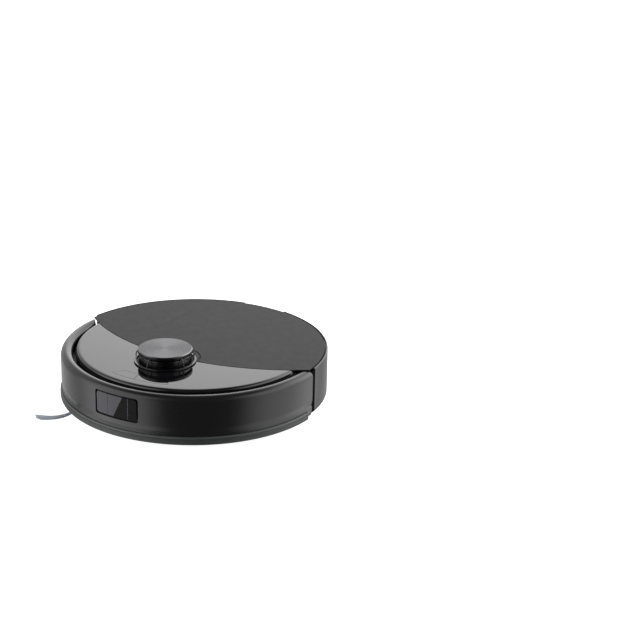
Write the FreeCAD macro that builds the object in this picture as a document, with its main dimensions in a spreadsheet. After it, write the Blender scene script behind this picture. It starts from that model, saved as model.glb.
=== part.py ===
import FreeCAD, Part

import math
import os

import Sketcher
from FreeCAD import Placement, Rotation, Vector

# Robot vacuum: a round, flat cleaner with a sprung front bumper, a gloss front deck, a hinged rear
# lid and a raised range-finder turret.  Millimetres.  The front is -Y, +Z is up, and the origin is
# on the floor under the middle of the body.

SIZES = {
    # round body
    "body_radius": 175.0,
    "base_radius": 164.0,
    "base_bottom": 12.0,
    "base_top": 14.5,
    "shell_inner_radius": 171.6,
    "shell_top": 79.2,
    "shell_low": 19.5,
    "rim_inner_radius": 173.0,
    "rim_ledge": 76.2,
    "frame_radius": 155.0,
    "frame_wall": 2.5,
    "tray_bottom": 72.2,
    "tray_top": 74.2,
    # front deck and rear lid
    "deck_radius": 154.5,
    "deck_top": 79.2,
    "deck_panel": 77.0,
    "deck_rim": 2.0,
    "lid_radius": 172.6,
    "lid_bottom": 76.6,
    "lid_top": 79.5,
    "lid_seam_centre": 231.0,
    "lid_seam_radius": 282.0,
    "lid_cutout_y": -53.3,
    "lid_cutout_radius": 37.3,
    "lid_gap": 1.2,
    "hinge_x": 54.0,
    "hinge_y": -44.2,
    "hinge_z": 77.6,
    "hinge_pin_radius": 0.9,
    # seam between the bumper and the rear side shell
    "seam_x": 161.0,
    "seam_y": -2.6,
    "seam_slope": 0.92,
    "seam_gap": 7.0,
    # bumper
    "lip_inner_radius": 159.5,
    "bumper_top": 78.0,
    "bumper_bottom": 17.0,
    "bumper_wall": 2.6,
    "strip_radius": 176.8,
    "strip_bottom": 14.5,
    "strip_top": 25.2,
    "window_half_width": 32.6,
    "window_bottom": 37.6,
    "window_top": 70.0,
    "window_gap": 0.5,
    "bumper_spring_x": 60.0,
    "bumper_spring_z": 45.0,
    # rear finger notch, charging contacts and exhaust
    "notch_half_width": 31.0,
    "notch_depth_y": 166.5,
    "notch_bottom": 67.0,
    "contact_x": 40.0,
    "contact_half_width": 6.0,
    "contact_bottom": 24.0,
    "contact_height": 12.0,
    "contact_inner_radius": 173.4,
    "exhaust_x": 76.0,
    "exhaust_width": 22.0,
    "exhaust_bottom": 52.0,
    "exhaust_height": 16.0,
    # range-finder turret
    "turret_y": -67.4,
    "cap_radius": 35.2,
    "cap_bottom": 91.0,
    "cap_top": 96.4,
    "cap_post_radius": 0.9,
    "cap_post_top_circle": 34.2,
    "cap_post_foot_circle": 38.6,
    "hoop_inner_radius": 37.2,
    "hoop_radius": 40.0,
    "hoop_bottom": 80.1,
    "hoop_top": 81.3,
    "guide_pin_radius": 1.2,
    "guide_pin_bottom": 73.2,
    "turret_hole_radius": 41.0,
    "ring_radius": 36.2,
    "ring_inner_radius": 34.0,
    "rotor_radius": 32.8,
    "rotor_top": 89.9,
    "rotor_bottom": 65.0,
    "pulley_radius": 27.0,
    "spindle_radius": 8.0,
    "motor_pulley_radius": 5.4,
    "belt_gap": 0.35,
    "belt_thickness": 1.2,
    "lidar_motor_x": 52.0,
    "lidar_motor_y": -98.0,
    # buttons
    "key_front_radius": 140.4,
    "key_back_radius": 124.0,
    "key_middle_angle": 3.3,
    "key_front_half_angle": 17.2,
    "key_back_half_angle": 13.6,
    "key_divider_back_x": -0.3,
    "key_divider_front_x": 3.2,
    "key_gap": 0.4,
    "key_top": 79.5,
    "key_bottom": 76.4,
    "key_left_x": -16.0,
    "key_right_x": 25.0,
    "key_stem_y": -131.0,
    # drive wheels
    "wheel_radius": 34.0,
    "wheel_axle_z": 34.0,
    "tyre_inner": 105.5,
    "tyre_outer": 126.0,
    "rim_radius": 24.0,
    "pivot_y": -48.0,
    "pivot_pin_radius": 3.0,
    "axle_radius": 4.0,
    "running_gap": 0.05,
    "well_inner": 89.5,
    "well_outer": 131.0,
    "well_front": -58.0,
    "well_back": 42.0,
    "well_wall": 1.5,
    # caster
    "caster_y": -124.0,
    "caster_radius": 20.5,
    "caster_wheel_radius": 12.0,
    "caster_wheel_width": 12.0,
    "caster_trail": 4.0,
    "socket_radius": 23.0,
    "socket_inner_radius": 21.2,
    # main brush
    "brush_y": 8.0,
    "brush_z": 24.0,
    "brush_radius": 21.5,
    "brush_core_radius": 9.0,
    "brush_half_length": 83.0,
    "mouth_half_length": 85.5,
    "mouth_radius": 24.5,
    "guard_bottom": 11.6,
    "guard_top": 14.3,
    "guard_bar_pitch": 41.0,
    "guard_bar_width": 2.4,
    # side brush
    "side_brush_x": -100.0,
    "side_brush_y": -106.0,
    "side_brush_reach": 69.3,
    "side_brush_hub_radius": 13.0,
    # dust bin, filter, fan, battery
    "bin_half_width": 72.0,
    "bin_front": 44.0,
    "bin_back": 142.0,
    "bin_bottom": 40.0,
    "bin_top": 71.0,
    "bin_wall": 2.0,
    "fan_y": 78.0,
    "fan_z": 50.0,
    "fan_radius": 21.8,
    "fan_front": 73.0,
    "fan_back": 100.0,
    "battery_half_width": 66.0,
    "battery_front": 84.0,
    "battery_back": 138.0,
    "battery_top": 37.0,
}

doc = FreeCAD.newDocument("RobotVacuum")
sheet = doc.addObject("Spreadsheet::Sheet", "Dims")
for row, (alias, value) in enumerate(SIZES.items(), start=1):
    sheet.set(f"A{row}", alias)
    sheet.set(f"B{row}", str(value))
    sheet.setAlias(f"B{row}", alias)
doc.recompute()


class Dim:
    """A size that carries its number and the sheet formula that gives it."""

    def __init__(self, value, text):
        self.value = value
        self.text = text

    def __add__(self, other):
        other = dim(other)
        return Dim(self.value + other.value, f"({self.text} + {other.text})")

    def __radd__(self, other):
        return dim(other) + self

    def __sub__(self, other):
        other = dim(other)
        return Dim(self.value - other.value, f"({self.text} - {other.text})")

    def __rsub__(self, other):
        return dim(other) - self

    def __mul__(self, other):
        other = dim(other)
        return Dim(self.value * other.value, f"({self.text} * {other.text})")

    __rmul__ = __mul__

    def __neg__(self):
        return Dim(-self.value, f"(0 - {self.text})")


def dim(size):
    """Give a plain number as a Dim, and leave a Dim as it is."""
    return size if isinstance(size, Dim) else Dim(float(size), f"({float(size):.6g})")


class Sizes:
    """The sheet's cells by name."""


d = Sizes()
for alias, value in SIZES.items():
    setattr(d, alias, Dim(value, f"Dims.{alias}"))

TURN_TO = {
    "X": Rotation(Vector(0, 1, 0), 90),
    "Y": Rotation(Vector(1, 0, 0), -90),
    "Z": Rotation(),
}
FAR = 400.0
subparts = []


# ---------------------------------------------------------------- building blocks


def bind(obj, prop, size):
    obj.setExpression(prop, dim(size).text)


def place(obj, x=0, y=0, z=0, turn=None):
    """Put an object's own origin at x, y, z, each bound to the sheet."""
    obj.Placement = Placement(Vector(dim(x).value, dim(y).value, dim(z).value), turn or Rotation())
    for key, size in zip("xyz", (x, y, z)):
        bind(obj, f"Placement.Base.{key}", size)
    return obj


def cylinder(radius, length, x=0, y=0, z=0, axis="Z"):
    obj = doc.addObject("Part::Cylinder", "Cylinder")
    bind(obj, "Radius", radius)
    bind(obj, "Height", length)
    return place(obj, x, y, z, TURN_TO[axis])


def cone(low_radius, high_radius, length, x=0, y=0, z=0, axis="Z"):
    obj = doc.addObject("Part::Cone", "Cone")
    bind(obj, "Radius1", low_radius)
    bind(obj, "Radius2", high_radius)
    bind(obj, "Height", length)
    return place(obj, x, y, z, TURN_TO[axis])


def box(x0, x1, y0, y1, z0, z1):
    """A box between two values on each axis."""
    obj = doc.addObject("Part::Box", "Box")
    for prop, low, high in (("Length", x0, x1), ("Width", y0, y1), ("Height", z0, z1)):
        bind(obj, prop, dim(high) - dim(low))
    return place(obj, x0, y0, z0)


def fuse(*shapes):
    obj = doc.addObject("Part::MultiFuse", "Fuse")
    obj.Shapes = list(shapes)
    obj.Refine = True
    return obj


def cut(base, *tools):
    obj = doc.addObject("Part::Cut", "Cut")
    obj.Base = base
    obj.Tool = tools[0] if len(tools) == 1 else fuse(*tools)
    obj.Refine = True
    return obj


def common(*shapes):
    obj = doc.addObject("Part::MultiCommon", "Common")
    obj.Shapes = list(shapes)
    return obj


def group(*shapes):
    """Separate solids that share one node."""
    obj = doc.addObject("Part::Compound", "Group")
    obj.Links = list(shapes)
    return obj


def tube(outer, inner, length, x=0, y=0, z=0, axis="Z"):
    margin = 1.0
    bore_at = {
        "X": (dim(x) - margin, y, z),
        "Y": (x, dim(y) - margin, z),
        "Z": (x, y, dim(z) - margin),
    }[axis]
    return cut(
        cylinder(outer, length, x, y, z, axis),
        cylinder(inner, dim(length) + 2 * margin, *bore_at, axis),
    )


def turned(obj, angle, x=0, y=0, z=0, about=Vector(0, 0, 1)):
    """Wrap an object so that it can be turned about a line through x, y, z."""
    holder = group(obj)
    centre = Vector(dim(x).value, dim(y).value, dim(z).value)
    holder.Placement = Placement(Vector(), Rotation(about, angle), centre)
    return holder


def mirrored(obj):
    """The same piece on the other side of the middle plane x = 0."""
    twin = doc.addObject("Part::Mirroring", "Twin")
    twin.Source = obj
    twin.Normal = Vector(1, 0, 0)
    return twin


def outline(sketch, points):
    """Draw a closed outline whose every corner is driven from the sheet."""
    count = len(points)
    at = [Vector(dim(a).value, dim(b).value, 0) for a, b in points]
    for index in range(count):
        sketch.addGeometry(Part.LineSegment(at[index], at[(index + 1) % count]), False)
    for index in range(count):
        sketch.addConstraint(Sketcher.Constraint("Coincident", index, 2, (index + 1) % count, 1))
    for index, (across, up) in enumerate(points):
        for kind, size in (("DistanceX", across), ("DistanceY", up)):
            constraint = Sketcher.Constraint(kind, -1, 1, index, 1, dim(size).value)
            number = sketch.addConstraint(constraint)
            if isinstance(size, Dim):
                sketch.setExpression(f"Constraints[{number}]", size.text)


def sketch_on(body, role, points):
    sketch = body.newObject("Sketcher::SketchObject", "Profile")
    plane = next(item for item in body.Origin.OriginFeatures if item.Role == role)
    sketch.AttachmentSupport = [(plane, "")]
    sketch.MapMode = "FlatFace"
    outline(sketch, points)
    return sketch


def pad(points, low, high):
    """A flat outline in the XY plane, raised from low to high."""
    body = doc.addObject("PartDesign::Body", "Padded")
    feature = body.newObject("PartDesign::Pad", "Pad")
    feature.Profile = sketch_on(body, "XY_Plane", points)
    bind(feature, "Length", dim(high) - dim(low))
    body.Tip = feature
    return place(body, 0, 0, low)


def revolve(points, x=0, y=0):
    """A (radius, height) outline turned about the vertical line through x, y."""
    body = doc.addObject("PartDesign::Body", "Turned")
    sketch = sketch_on(body, "XZ_Plane", points)
    feature = body.newObject("PartDesign::Revolution", "Revolution")
    feature.Profile = sketch
    feature.ReferenceAxis = (sketch, ["V_Axis"])
    feature.Angle = 360
    body.Tip = feature
    return place(body, x, y, 0)


def soften(base, size, pick, kind="Part::Fillet"):
    """Round (or chamfer) the edges that pick() chooses."""
    doc.recompute()
    obj = doc.addObject(kind, "Softened")
    obj.Base = base
    edges = base.Shape.Edges
    obj.Edges = [(n, size, size) for n, edge in enumerate(edges, start=1) if pick(edge)]
    return obj


def at_height(z):
    """Pick the edges that lie flat at one height."""
    level = dim(z).value
    return lambda edge: abs(edge.BoundBox.ZMin - level) < 1e-4 and abs(edge.BoundBox.ZMax - level) < 1e-4


def along(axis):
    """Pick the straight edges that run along one axis."""
    def pick(edge):
        bounds = edge.BoundBox
        lengths = {"X": bounds.XLength, "Y": bounds.YLength, "Z": bounds.ZLength}
        main = lengths.pop(axis)
        return main > 1e-3 and max(lengths.values()) < 1e-4

    return pick


def coil(radius, wire, pitch, turns, x, y, z, axis):
    """A wound wire spring."""
    line = doc.addObject("Part::Helix", "Winding")
    line.Radius = radius
    line.Pitch = pitch
    line.Height = pitch * turns
    section = doc.addObject("Part::Circle", "WireSection")
    section.Radius = wire
    section.Placement = Placement(Vector(radius, 0, 0), Rotation(Vector(1, 0, 0), 90))
    swept = doc.addObject("Part::Sweep", "Wound")
    swept.Sections = [section]
    swept.Spine = (line, [])
    swept.Solid = True
    swept.Frenet = True
    return place(swept, x, y, z, TURN_TO[axis])


def node(label, obj):
    """Name a finished sub-part."""
    obj.Label = label
    subparts.append(obj)
    return obj


def seam_line(offset):
    """The slanted seam on both sides, from (-X) to (+X), moved back by an offset."""
    points = []
    for x in (-200.0, -140.0, 140.0, 200.0):
        reach = abs(x)
        y = d.seam_y + offset + (reach - d.seam_x) * d.seam_slope
        points.append((x, y))
    return points


def behind_seam(offset, low=0, high=100):
    return pad([(-200.0, FAR)] + seam_line(offset) + [(200.0, FAR)], low, high)


def ahead_of_seam(offset, low=0, high=100):
    return pad([(-200.0, -FAR)] + seam_line(offset) + [(200.0, -FAR)], low, high)


# ---------------------------------------------------------------- casings

SCREW_POSTS = [(60.0, -125.0), (-60.0, -125.0), (141.0, 10.0), (-141.0, 10.0), (50.0, 150.0), (-50.0, 150.0)]
SCREW_HEAD_RADIUS = 3.0
SCREW_HEAD_HEIGHT = 1.4
SCREW_SHANK_RADIUS = 1.4
SCREW_LENGTH = 9.0
POST_RADIUS = 4.0
CLIFF_SPOTS = [(45.0, -150.0), (-45.0, -150.0), (140.0, -62.0), (-140.0, -62.0)]
CLIFF_RADIUS = 5.5
SPEAKER_AT = (-110.0, 80.0)
SPEAKER_RADIUS = 18.0


def wheel_opening(side):
    inner, outer = d.well_inner + d.well_wall, d.well_outer - d.well_wall
    front, back = d.well_front + d.well_wall, d.well_back - d.well_wall
    x0, x1 = (inner, outer) if side > 0 else (-outer, -inner)
    return box(x0, x1, front, back, 0, d.base_top + 1)


KEY_STEM_RADIUS = 2.0
KEY_STEM_BOTTOM = 72.8
RECESS_FLOOR = 73.2
EAR_WIDTH = 2.0
EAR_RADIUS = 1.25


def make_bottom_shell():
    plate = cone(d.base_radius - 1.5, d.base_radius, 1.5, z=d.base_bottom)
    top = cylinder(d.base_radius, d.base_top - d.base_bottom - 1.5, z=d.base_bottom + 1.5)
    holes = [wheel_opening(1), wheel_opening(-1)]
    holes.append(box(-d.mouth_half_length, d.mouth_half_length,
                     d.brush_y - d.mouth_radius, d.brush_y + d.mouth_radius, 0, 20))
    holes.append(cylinder(d.socket_inner_radius, 20, 0, d.caster_y, 5))
    holes.append(cylinder(4.2, 20, d.side_brush_x, d.side_brush_y, 5))
    holes.append(box(-70.3, 70.3, 82.0, 140.3, 0, 20))
    for x, y in CLIFF_SPOTS:
        holes.append(cylinder(CLIFF_RADIUS, 20, x, y, 5))
    for x, y in SCREW_POSTS:
        holes.append(cylinder(SCREW_HEAD_RADIUS + 0.2, SCREW_HEAD_HEIGHT + 0.1, x, y, d.base_bottom - 0.1))
        holes.append(cylinder(SCREW_SHANK_RADIUS + 0.05, 20, x, y, 5))
    for step in range(6):
        angle = math.radians(60.0 * step)
        holes.append(cylinder(1.6, 20, SPEAKER_AT[0] + 8.0 * math.cos(angle),
                              SPEAKER_AT[1] + 8.0 * math.sin(angle), 5))
    return cut(fuse(plate, top), *holes)


def make_front_frame():
    ring = tube(d.frame_radius, d.frame_radius - d.frame_wall, d.tray_bottom - d.base_top, z=d.base_top)
    half = cut(ring, box(-FAR, FAR, 8, FAR, 0, 100))
    seats = []
    for side in (1, -1):
        seats.append(cylinder(5.5, 6.0, side * d.bumper_spring_x, -148.0, d.bumper_spring_z, "Y"))
    return fuse(half, *seats)


def make_rear_side_shell():
    profile = [
        (d.base_radius, d.base_bottom), (d.base_radius + 2, d.base_bottom), (d.body_radius, d.shell_low),
        (d.body_radius, d.shell_top - 0.6), (d.body_radius - 0.6, d.shell_top),
        (d.rim_inner_radius, d.shell_top), (d.rim_inner_radius, d.rim_ledge),
        (d.shell_inner_radius, d.rim_ledge), (d.shell_inner_radius, d.shell_low + 1.3),
        (d.base_radius, d.base_top),
    ]
    shell = cut(revolve(profile), ahead_of_seam(d.seam_gap))
    wide = d.notch_half_width + 2.5
    pocket = common(
        box(-wide, wide, d.notch_depth_y - 2.5, FAR, d.notch_bottom - 3, d.rim_ledge),
        cylinder(d.body_radius - 1, 80, z=5),
    )
    notch = soften(
        box(-d.notch_half_width, d.notch_half_width, d.notch_depth_y, FAR, d.notch_bottom, 100),
        4.0, lambda e: along("Y")(e) and e.BoundBox.ZMax < 90 or along("Z")(e) and e.BoundBox.YMax < 200)
    openings = [notch]
    for side in (1, -1):
        openings.append(contact_block(side))
    openings.append(box(d.exhaust_x, d.exhaust_x + d.exhaust_width, 120, 180,
                        d.exhaust_bottom, d.exhaust_bottom + d.exhaust_height))
    return cut(fuse(shell, pocket), *openings)


def contact_block(side):
    """The recess that a charging contact sits in."""
    middle = side * d.contact_x
    return common(
        box(middle - d.contact_half_width, middle + d.contact_half_width, 150, 200,
            d.contact_bottom, d.contact_bottom + d.contact_height),
        tube(FAR / 2, d.contact_inner_radius, 60, z=5),
    )


def make_charging_contacts():
    ring = cylinder(d.body_radius, 60, z=5)
    return group(common(contact_block(1), ring), common(contact_block(-1), ring))


def deck_outline_disc(margin):
    """The disc that the lid's front seam follows, grown by a margin."""
    return cylinder(d.lid_seam_radius + margin, 100, 0, d.lid_seam_centre, 20)


def key_block(margin, low, high):
    """The two-key panel: a band of a ring, narrower at the back, pulled in by a margin."""
    ring = tube(d.key_front_radius - margin, d.key_back_radius + margin, dim(high) - dim(low), z=low)
    reach = (100.0, 170.0)
    middle = SIZES["key_middle_angle"]
    flare = SIZES["key_front_half_angle"] - SIZES["key_back_half_angle"]
    per_mm = flare / (SIZES["key_front_radius"] - SIZES["key_back_radius"])
    corners = []
    for side, radii in ((-1, reach), (1, reversed(reach))):
        for radius in radii:
            half = SIZES["key_back_half_angle"] + (radius - SIZES["key_back_radius"]) * per_mm
            angle = math.radians(middle + side * half)
            corners.append((radius * math.sin(angle) - side * margin, -radius * math.cos(angle)))
    return common(ring, pad(corners, low, high))


def make_front_deck():
    disc = soften(cylinder(d.deck_radius, d.deck_top - d.tray_top, z=d.tray_top), 3.5, at_height(d.deck_top))
    crescent = cut(disc, deck_outline_disc(d.lid_gap))
    collar = cylinder(d.lid_cutout_radius - d.lid_gap, d.deck_top - d.tray_top, 0, d.lid_cutout_y, d.tray_top)
    depth = d.deck_panel - d.tray_top + 1
    under = cylinder(d.deck_radius - d.deck_rim, depth, z=d.tray_top - 1)
    hollow = fuse(
        cut(under, deck_outline_disc(d.lid_gap + d.deck_rim)),
        cylinder(d.lid_cutout_radius - d.lid_gap - d.deck_rim, depth, 0, d.lid_cutout_y, d.tray_top - 1),
    )
    holes = [cylinder(d.ring_radius, 40, 0, d.turret_y, 60), key_block(0.0, 70.0, 90.0)]
    for x, y in pin_spots():
        holes.append(cylinder(d.guide_pin_radius + 0.2, 20, x, y, 70))
    return cut(fuse(crescent, collar), hollow, *holes)


def pin_spots():
    """Where the turret cap's three guide pins go down through the deck."""
    spots = []
    for angle in (60.0, 180.0, 300.0):
        across = math.sin(math.radians(angle))
        ahead = math.cos(math.radians(angle))
        spots.append((d.cap_post_foot_circle * across, d.turret_y - d.cap_post_foot_circle * ahead))
    return spots


def make_upper_tray():
    """The inner frame: top tray, hinge ears and the posts that the base screws into."""
    height = d.tray_top - d.tray_bottom
    rear = cut(cylinder(d.shell_inner_radius, height, z=d.tray_bottom), ahead_of_seam(d.seam_gap))
    front = cylinder(d.frame_radius, height, z=d.tray_bottom)
    posts, bores = [], []
    for x, y in SCREW_POSTS:
        posts.append(cylinder(POST_RADIUS, d.tray_bottom - d.base_top, x, y, d.base_top))
        bores.append(cylinder(SCREW_SHANK_RADIUS + 0.05, 10, x, y, d.base_top - 1))
    holes = [
        cylinder(d.turret_hole_radius, 40, 0, d.turret_y, 60),
        box(-d.bin_half_width - 1, d.bin_half_width + 1, d.bin_front - 1, d.bin_back + 1, 60, 90),
        box(-d.notch_half_width - 3, d.notch_half_width + 3, d.notch_depth_y - 3, FAR, 60, 90),
    ]
    for x in (d.key_left_x, d.key_right_x):
        holes.append(cylinder(KEY_STEM_RADIUS + 0.8, 20, x, d.key_stem_y, 60))
    for side in (1, -1):
        x = side * 48.0
        holes.append(box(x - 14.0, x + 14.0, -52.0, -38.0, RECESS_FLOOR, 90))
    tray = cut(fuse(rear, front, *posts), *holes, *bores)
    ears = []
    for side in (1, -1):
        for middle in (side * d.hinge_x - 4.0, side * d.hinge_x + 4.0):
            low = middle - 0.5 * EAR_WIDTH
            high = middle + 0.5 * EAR_WIDTH
            front, back = d.hinge_y - EAR_RADIUS, d.hinge_y + EAR_RADIUS
            ears.append(box(low, high, front, back, d.tray_bottom, d.hinge_z))
            ears.append(cylinder(EAR_RADIUS, EAR_WIDTH, low, d.hinge_y, d.hinge_z, "X"))
    pin_bores = [cylinder(d.hinge_pin_radius + 0.02, 20, side * d.hinge_x - 10, d.hinge_y, d.hinge_z, "X")
                 for side in (1, -1)]
    return cut(fuse(tray, *ears), *pin_bores)


def make_hinge_pins():
    return group(*[cylinder(d.hinge_pin_radius, 10.0, side * d.hinge_x - 5.0, d.hinge_y, d.hinge_z, "X")
                   for side in (1, -1)])


def make_top_lid():
    height = d.lid_top - d.lid_bottom
    plate = cut(
        common(cylinder(d.lid_radius, height, z=d.lid_bottom), deck_outline_disc(0)),
        cylinder(d.lid_cutout_radius, 40, 0, d.lid_cutout_y, 60),
    )
    plate = soften(plate, 0.7, at_height(d.lid_top), "Part::Chamfer")
    bosses, voids = [], []
    for side in (1, -1):
        x = side * d.hinge_x
        bosses.append(box(x - 2.7, x + 2.7, d.hinge_y - 1.5, d.hinge_y + 3.2,
                          d.lid_bottom - 1.0, d.lid_bottom + 0.5))
        voids.append(cylinder(d.hinge_pin_radius + d.running_gap, 20, x - 10, d.hinge_y, d.hinge_z, "X"))
        near, far = (154.0, 190.0) if side > 0 else (-190.0, -154.0)
        voids.append(box(near, far, -20.0, 16.0, 60, d.bumper_top + 0.25))
        for middle in (x - 4.0, x + 4.0):
            voids.append(box(middle - 1.3, middle + 1.3, d.hinge_y - 2.8, d.hinge_y + 2.7,
                             60, d.hinge_z + EAR_RADIUS + 0.2))
    return cut(fuse(plate, *bosses), *voids)


def make_battery_cover():
    plate = box(-70.0, 70.0, 82.3, 140.0, d.base_bottom, d.base_top)
    ribs = []
    for step in range(5):
        start = 95.0 + 8.0 * step
        ribs.append(box(-60.0, 60.0, start, start + 2.0, 11.0, d.base_bottom + 0.6))
    return cut(plate, *ribs)


def make_screws():
    screws = []
    for x, y in SCREW_POSTS:
        head = cylinder(SCREW_HEAD_RADIUS, SCREW_HEAD_HEIGHT, x, y, d.base_bottom)
        shank = cylinder(SCREW_SHANK_RADIUS, SCREW_LENGTH, x, y, d.base_bottom + 0.5)
        slot_a = box(x - 1.8, x + 1.8, y - 0.35, y + 0.35, 11.0, d.base_bottom + 0.7)
        slot_b = box(x - 0.35, x + 0.35, y - 1.8, y + 1.8, 11.0, d.base_bottom + 0.7)
        screws.append(cut(fuse(head, shank), slot_a, slot_b))
    return group(*screws)


def make_cliff_windows():
    return group(*[cylinder(CLIFF_RADIUS, d.base_top - d.base_bottom, x, y, d.base_bottom)
                   for x, y in CLIFF_SPOTS])


node("bottom_shell", make_bottom_shell())
node("front_frame", make_front_frame())
node("rear_side_shell", make_rear_side_shell())
node("charging_contacts", make_charging_contacts())
node("front_deck", make_front_deck())
node("upper_tray", make_upper_tray())
node("lid_hinge_pins", make_hinge_pins())
node("top_lid", make_top_lid())
node("battery_cover", make_battery_cover())
node("base_screws", make_screws())
node("cliff_sensor_windows", make_cliff_windows())


# ---------------------------------------------------------------- bumper


def window_block(margin):
    half = d.window_half_width - margin
    block = box(-half, half, -200, -150, d.window_bottom + margin, d.window_top - margin)
    return soften(block, 4.0, along("Y"))


def make_bumper_shell():
    inner = d.body_radius - d.bumper_wall
    top = d.bumper_top
    lip = [
        (d.body_radius, top - 7.5), (d.body_radius - 0.4, top - 5.2), (d.body_radius - 1.7, top - 3.2),
        (d.body_radius - 3.1, top - 1.8), (d.body_radius - 4.8, top - 0.8), (d.body_radius - 6.4, top - 0.2),
        (d.body_radius - 8, top), (d.lip_inner_radius + 5.7, top - 0.2), (d.lip_inner_radius + 4, top - 0.8),
        (d.lip_inner_radius + 2.5, top - 1.7), (d.lip_inner_radius + 1.3, top - 2.8),
        (d.lip_inner_radius, top - 4.8), (d.lip_inner_radius, top - 5.6),
    ]
    underside = [
        (d.lip_inner_radius + 2, top - 5.6), (d.lip_inner_radius + 3.5, top - 3.8),
        (d.lip_inner_radius + 5.5, top - 2.6), (d.lip_inner_radius + 7.5, top - 2.2),
        (inner - 3.2, top - 2.8), (inner - 1.2, top - 4.4), (inner, top - 7.0),
    ]
    profile = [(d.body_radius, d.bumper_bottom)] + lip + underside + [(inner, d.bumper_bottom)]
    shell = cut(revolve(profile), behind_seam(0.0), window_block(0.0))
    seats = []
    for side in (1, -1):
        seats.append(cylinder(5.5, 5.0, side * d.bumper_spring_x, -162.6, d.bumper_spring_z, "Y"))
    return fuse(shell, *seats)


def make_bumper_strip():
    inner = d.body_radius - d.bumper_wall
    profile = [
        (inner, d.strip_bottom), (d.strip_radius - 0.8, d.strip_bottom), (d.strip_radius, d.strip_bottom + 1),
        (d.strip_radius, d.strip_top - 1), (d.strip_radius - 0.8, d.strip_top), (d.body_radius, d.strip_top),
        (d.body_radius, d.bumper_bottom), (inner, d.bumper_bottom),
    ]
    return cut(revolve(profile), box(-FAR, FAR, -3, FAR, 0, 100))


def make_sensor_window():
    return common(tube(d.body_radius - 0.4, d.body_radius - 2.0, 60, z=20), window_block(d.window_gap))


def make_obstacle_sensor():
    body = box(-26, 26, -169, -162, d.window_bottom + 4, d.window_top - 4)
    eyes = [cylinder(6.0, 2.0, x, -171.0, 55.5, "Y") for x in (-13.0, 13.0)]
    return fuse(body, *eyes)


def make_bumper_springs():
    return group(*[coil(4.0, 0.5, 2.0, 4.2, side * d.bumper_spring_x, -157.0, d.bumper_spring_z, "Y")
                   for side in (1, -1)])


node("bumper_shell", make_bumper_shell())
node("bumper_strip", make_bumper_strip())
node("sensor_window", make_sensor_window())
node("obstacle_sensor", make_obstacle_sensor())
node("bumper_springs", make_bumper_springs())


# ---------------------------------------------------------------- range-finder turret


def make_lidar_base():
    outer = d.turret_hole_radius + 1.5
    floor = tube(outer, d.spindle_radius - 2, 2.0, 0, d.turret_y, 61.0)
    wall = tube(outer, d.turret_hole_radius, 9.2, 0, d.turret_y, 63.0)
    hub = tube(d.spindle_radius - 0.2, 4.0, 14.0, 0, d.turret_y, 62.0)
    lower_hub = tube(d.spindle_radius + 3, d.spindle_radius - 2, 1.6, 0, d.turret_y, 63.0)
    motor_bay = box(8.0, 60.0, d.turret_y - 60.0, d.turret_y + 22.0, 62.8, 80)
    return fuse(floor, cut(wall, motor_bay), hub, lower_hub)


def make_lidar_ring():
    return tube(d.ring_radius, d.ring_inner_radius, d.deck_top - d.tray_top, 0, d.turret_y, d.tray_top)


def make_lidar_cap():
    top = revolve([
        (0, d.cap_bottom + 1.6), (d.cap_radius - 5, d.cap_bottom + 1.6), (d.cap_radius - 5, d.cap_bottom),
        (d.cap_radius - 0.6, d.cap_bottom), (d.cap_radius, d.cap_bottom + 0.6),
        (d.cap_radius, d.cap_top - 1), (d.cap_radius - 1, d.cap_top), (0, d.cap_top),
    ], 0, d.turret_y)
    hoop = tube(d.hoop_radius, d.hoop_inner_radius, d.hoop_top - d.hoop_bottom, 0, d.turret_y, d.hoop_bottom)
    foot_z = d.hoop_bottom + 0.6
    rise = SIZES["cap_bottom"] + 0.8 - foot_z.value
    lean_in = SIZES["cap_post_foot_circle"] - SIZES["cap_post_top_circle"]
    tilt = -math.degrees(math.atan2(lean_in, rise))
    posts = []
    for step in range(5):
        angle = 72.0 * step
        x = d.cap_post_foot_circle * math.sin(math.radians(angle))
        y = d.turret_y - d.cap_post_foot_circle * math.cos(math.radians(angle))
        turn = Rotation(Vector(0, 0, 1), angle) * Rotation(Vector(1, 0, 0), tilt)
        posts.append(place(cylinder(d.cap_post_radius, math.hypot(rise, lean_in)), x, y, foot_z, turn))
    pins = [cylinder(d.guide_pin_radius, d.hoop_bottom + 0.5 - d.guide_pin_bottom, x, y, d.guide_pin_bottom)
            for x, y in pin_spots()]
    return fuse(top, hoop, *posts, *pins)


def make_lidar_rotor():
    drum = revolve([
        (d.spindle_radius + 0.2, d.rotor_bottom), (d.pulley_radius + 1.2, d.rotor_bottom),
        (d.pulley_radius + 1.2, d.rotor_bottom + 0.7), (d.pulley_radius, d.rotor_bottom + 0.7),
        (d.pulley_radius, d.rotor_bottom + 5.3), (d.pulley_radius + 1.2, d.rotor_bottom + 5.3),
        (d.pulley_radius + 1.2, d.rotor_bottom + 7), (d.rotor_radius, d.rotor_bottom + 7),
        (d.rotor_radius, d.rotor_top - 1), (d.rotor_radius - 1, d.rotor_top),
        (0, d.rotor_top), (0, d.rotor_top - 8), (d.spindle_radius + 0.2, d.rotor_top - 8),
    ], 0, d.turret_y)
    eyes = [cylinder(4.5, 20, x, d.turret_y - 40, 85.5, "Y") for x in (-9.0, 9.0)]
    return cut(drum, *eyes)


def make_lidar_lenses():
    return group(*[cylinder(4.4, 4.0, x, d.turret_y - 24, 85.5, "Y") for x in (-9.0, 9.0)])


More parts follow.
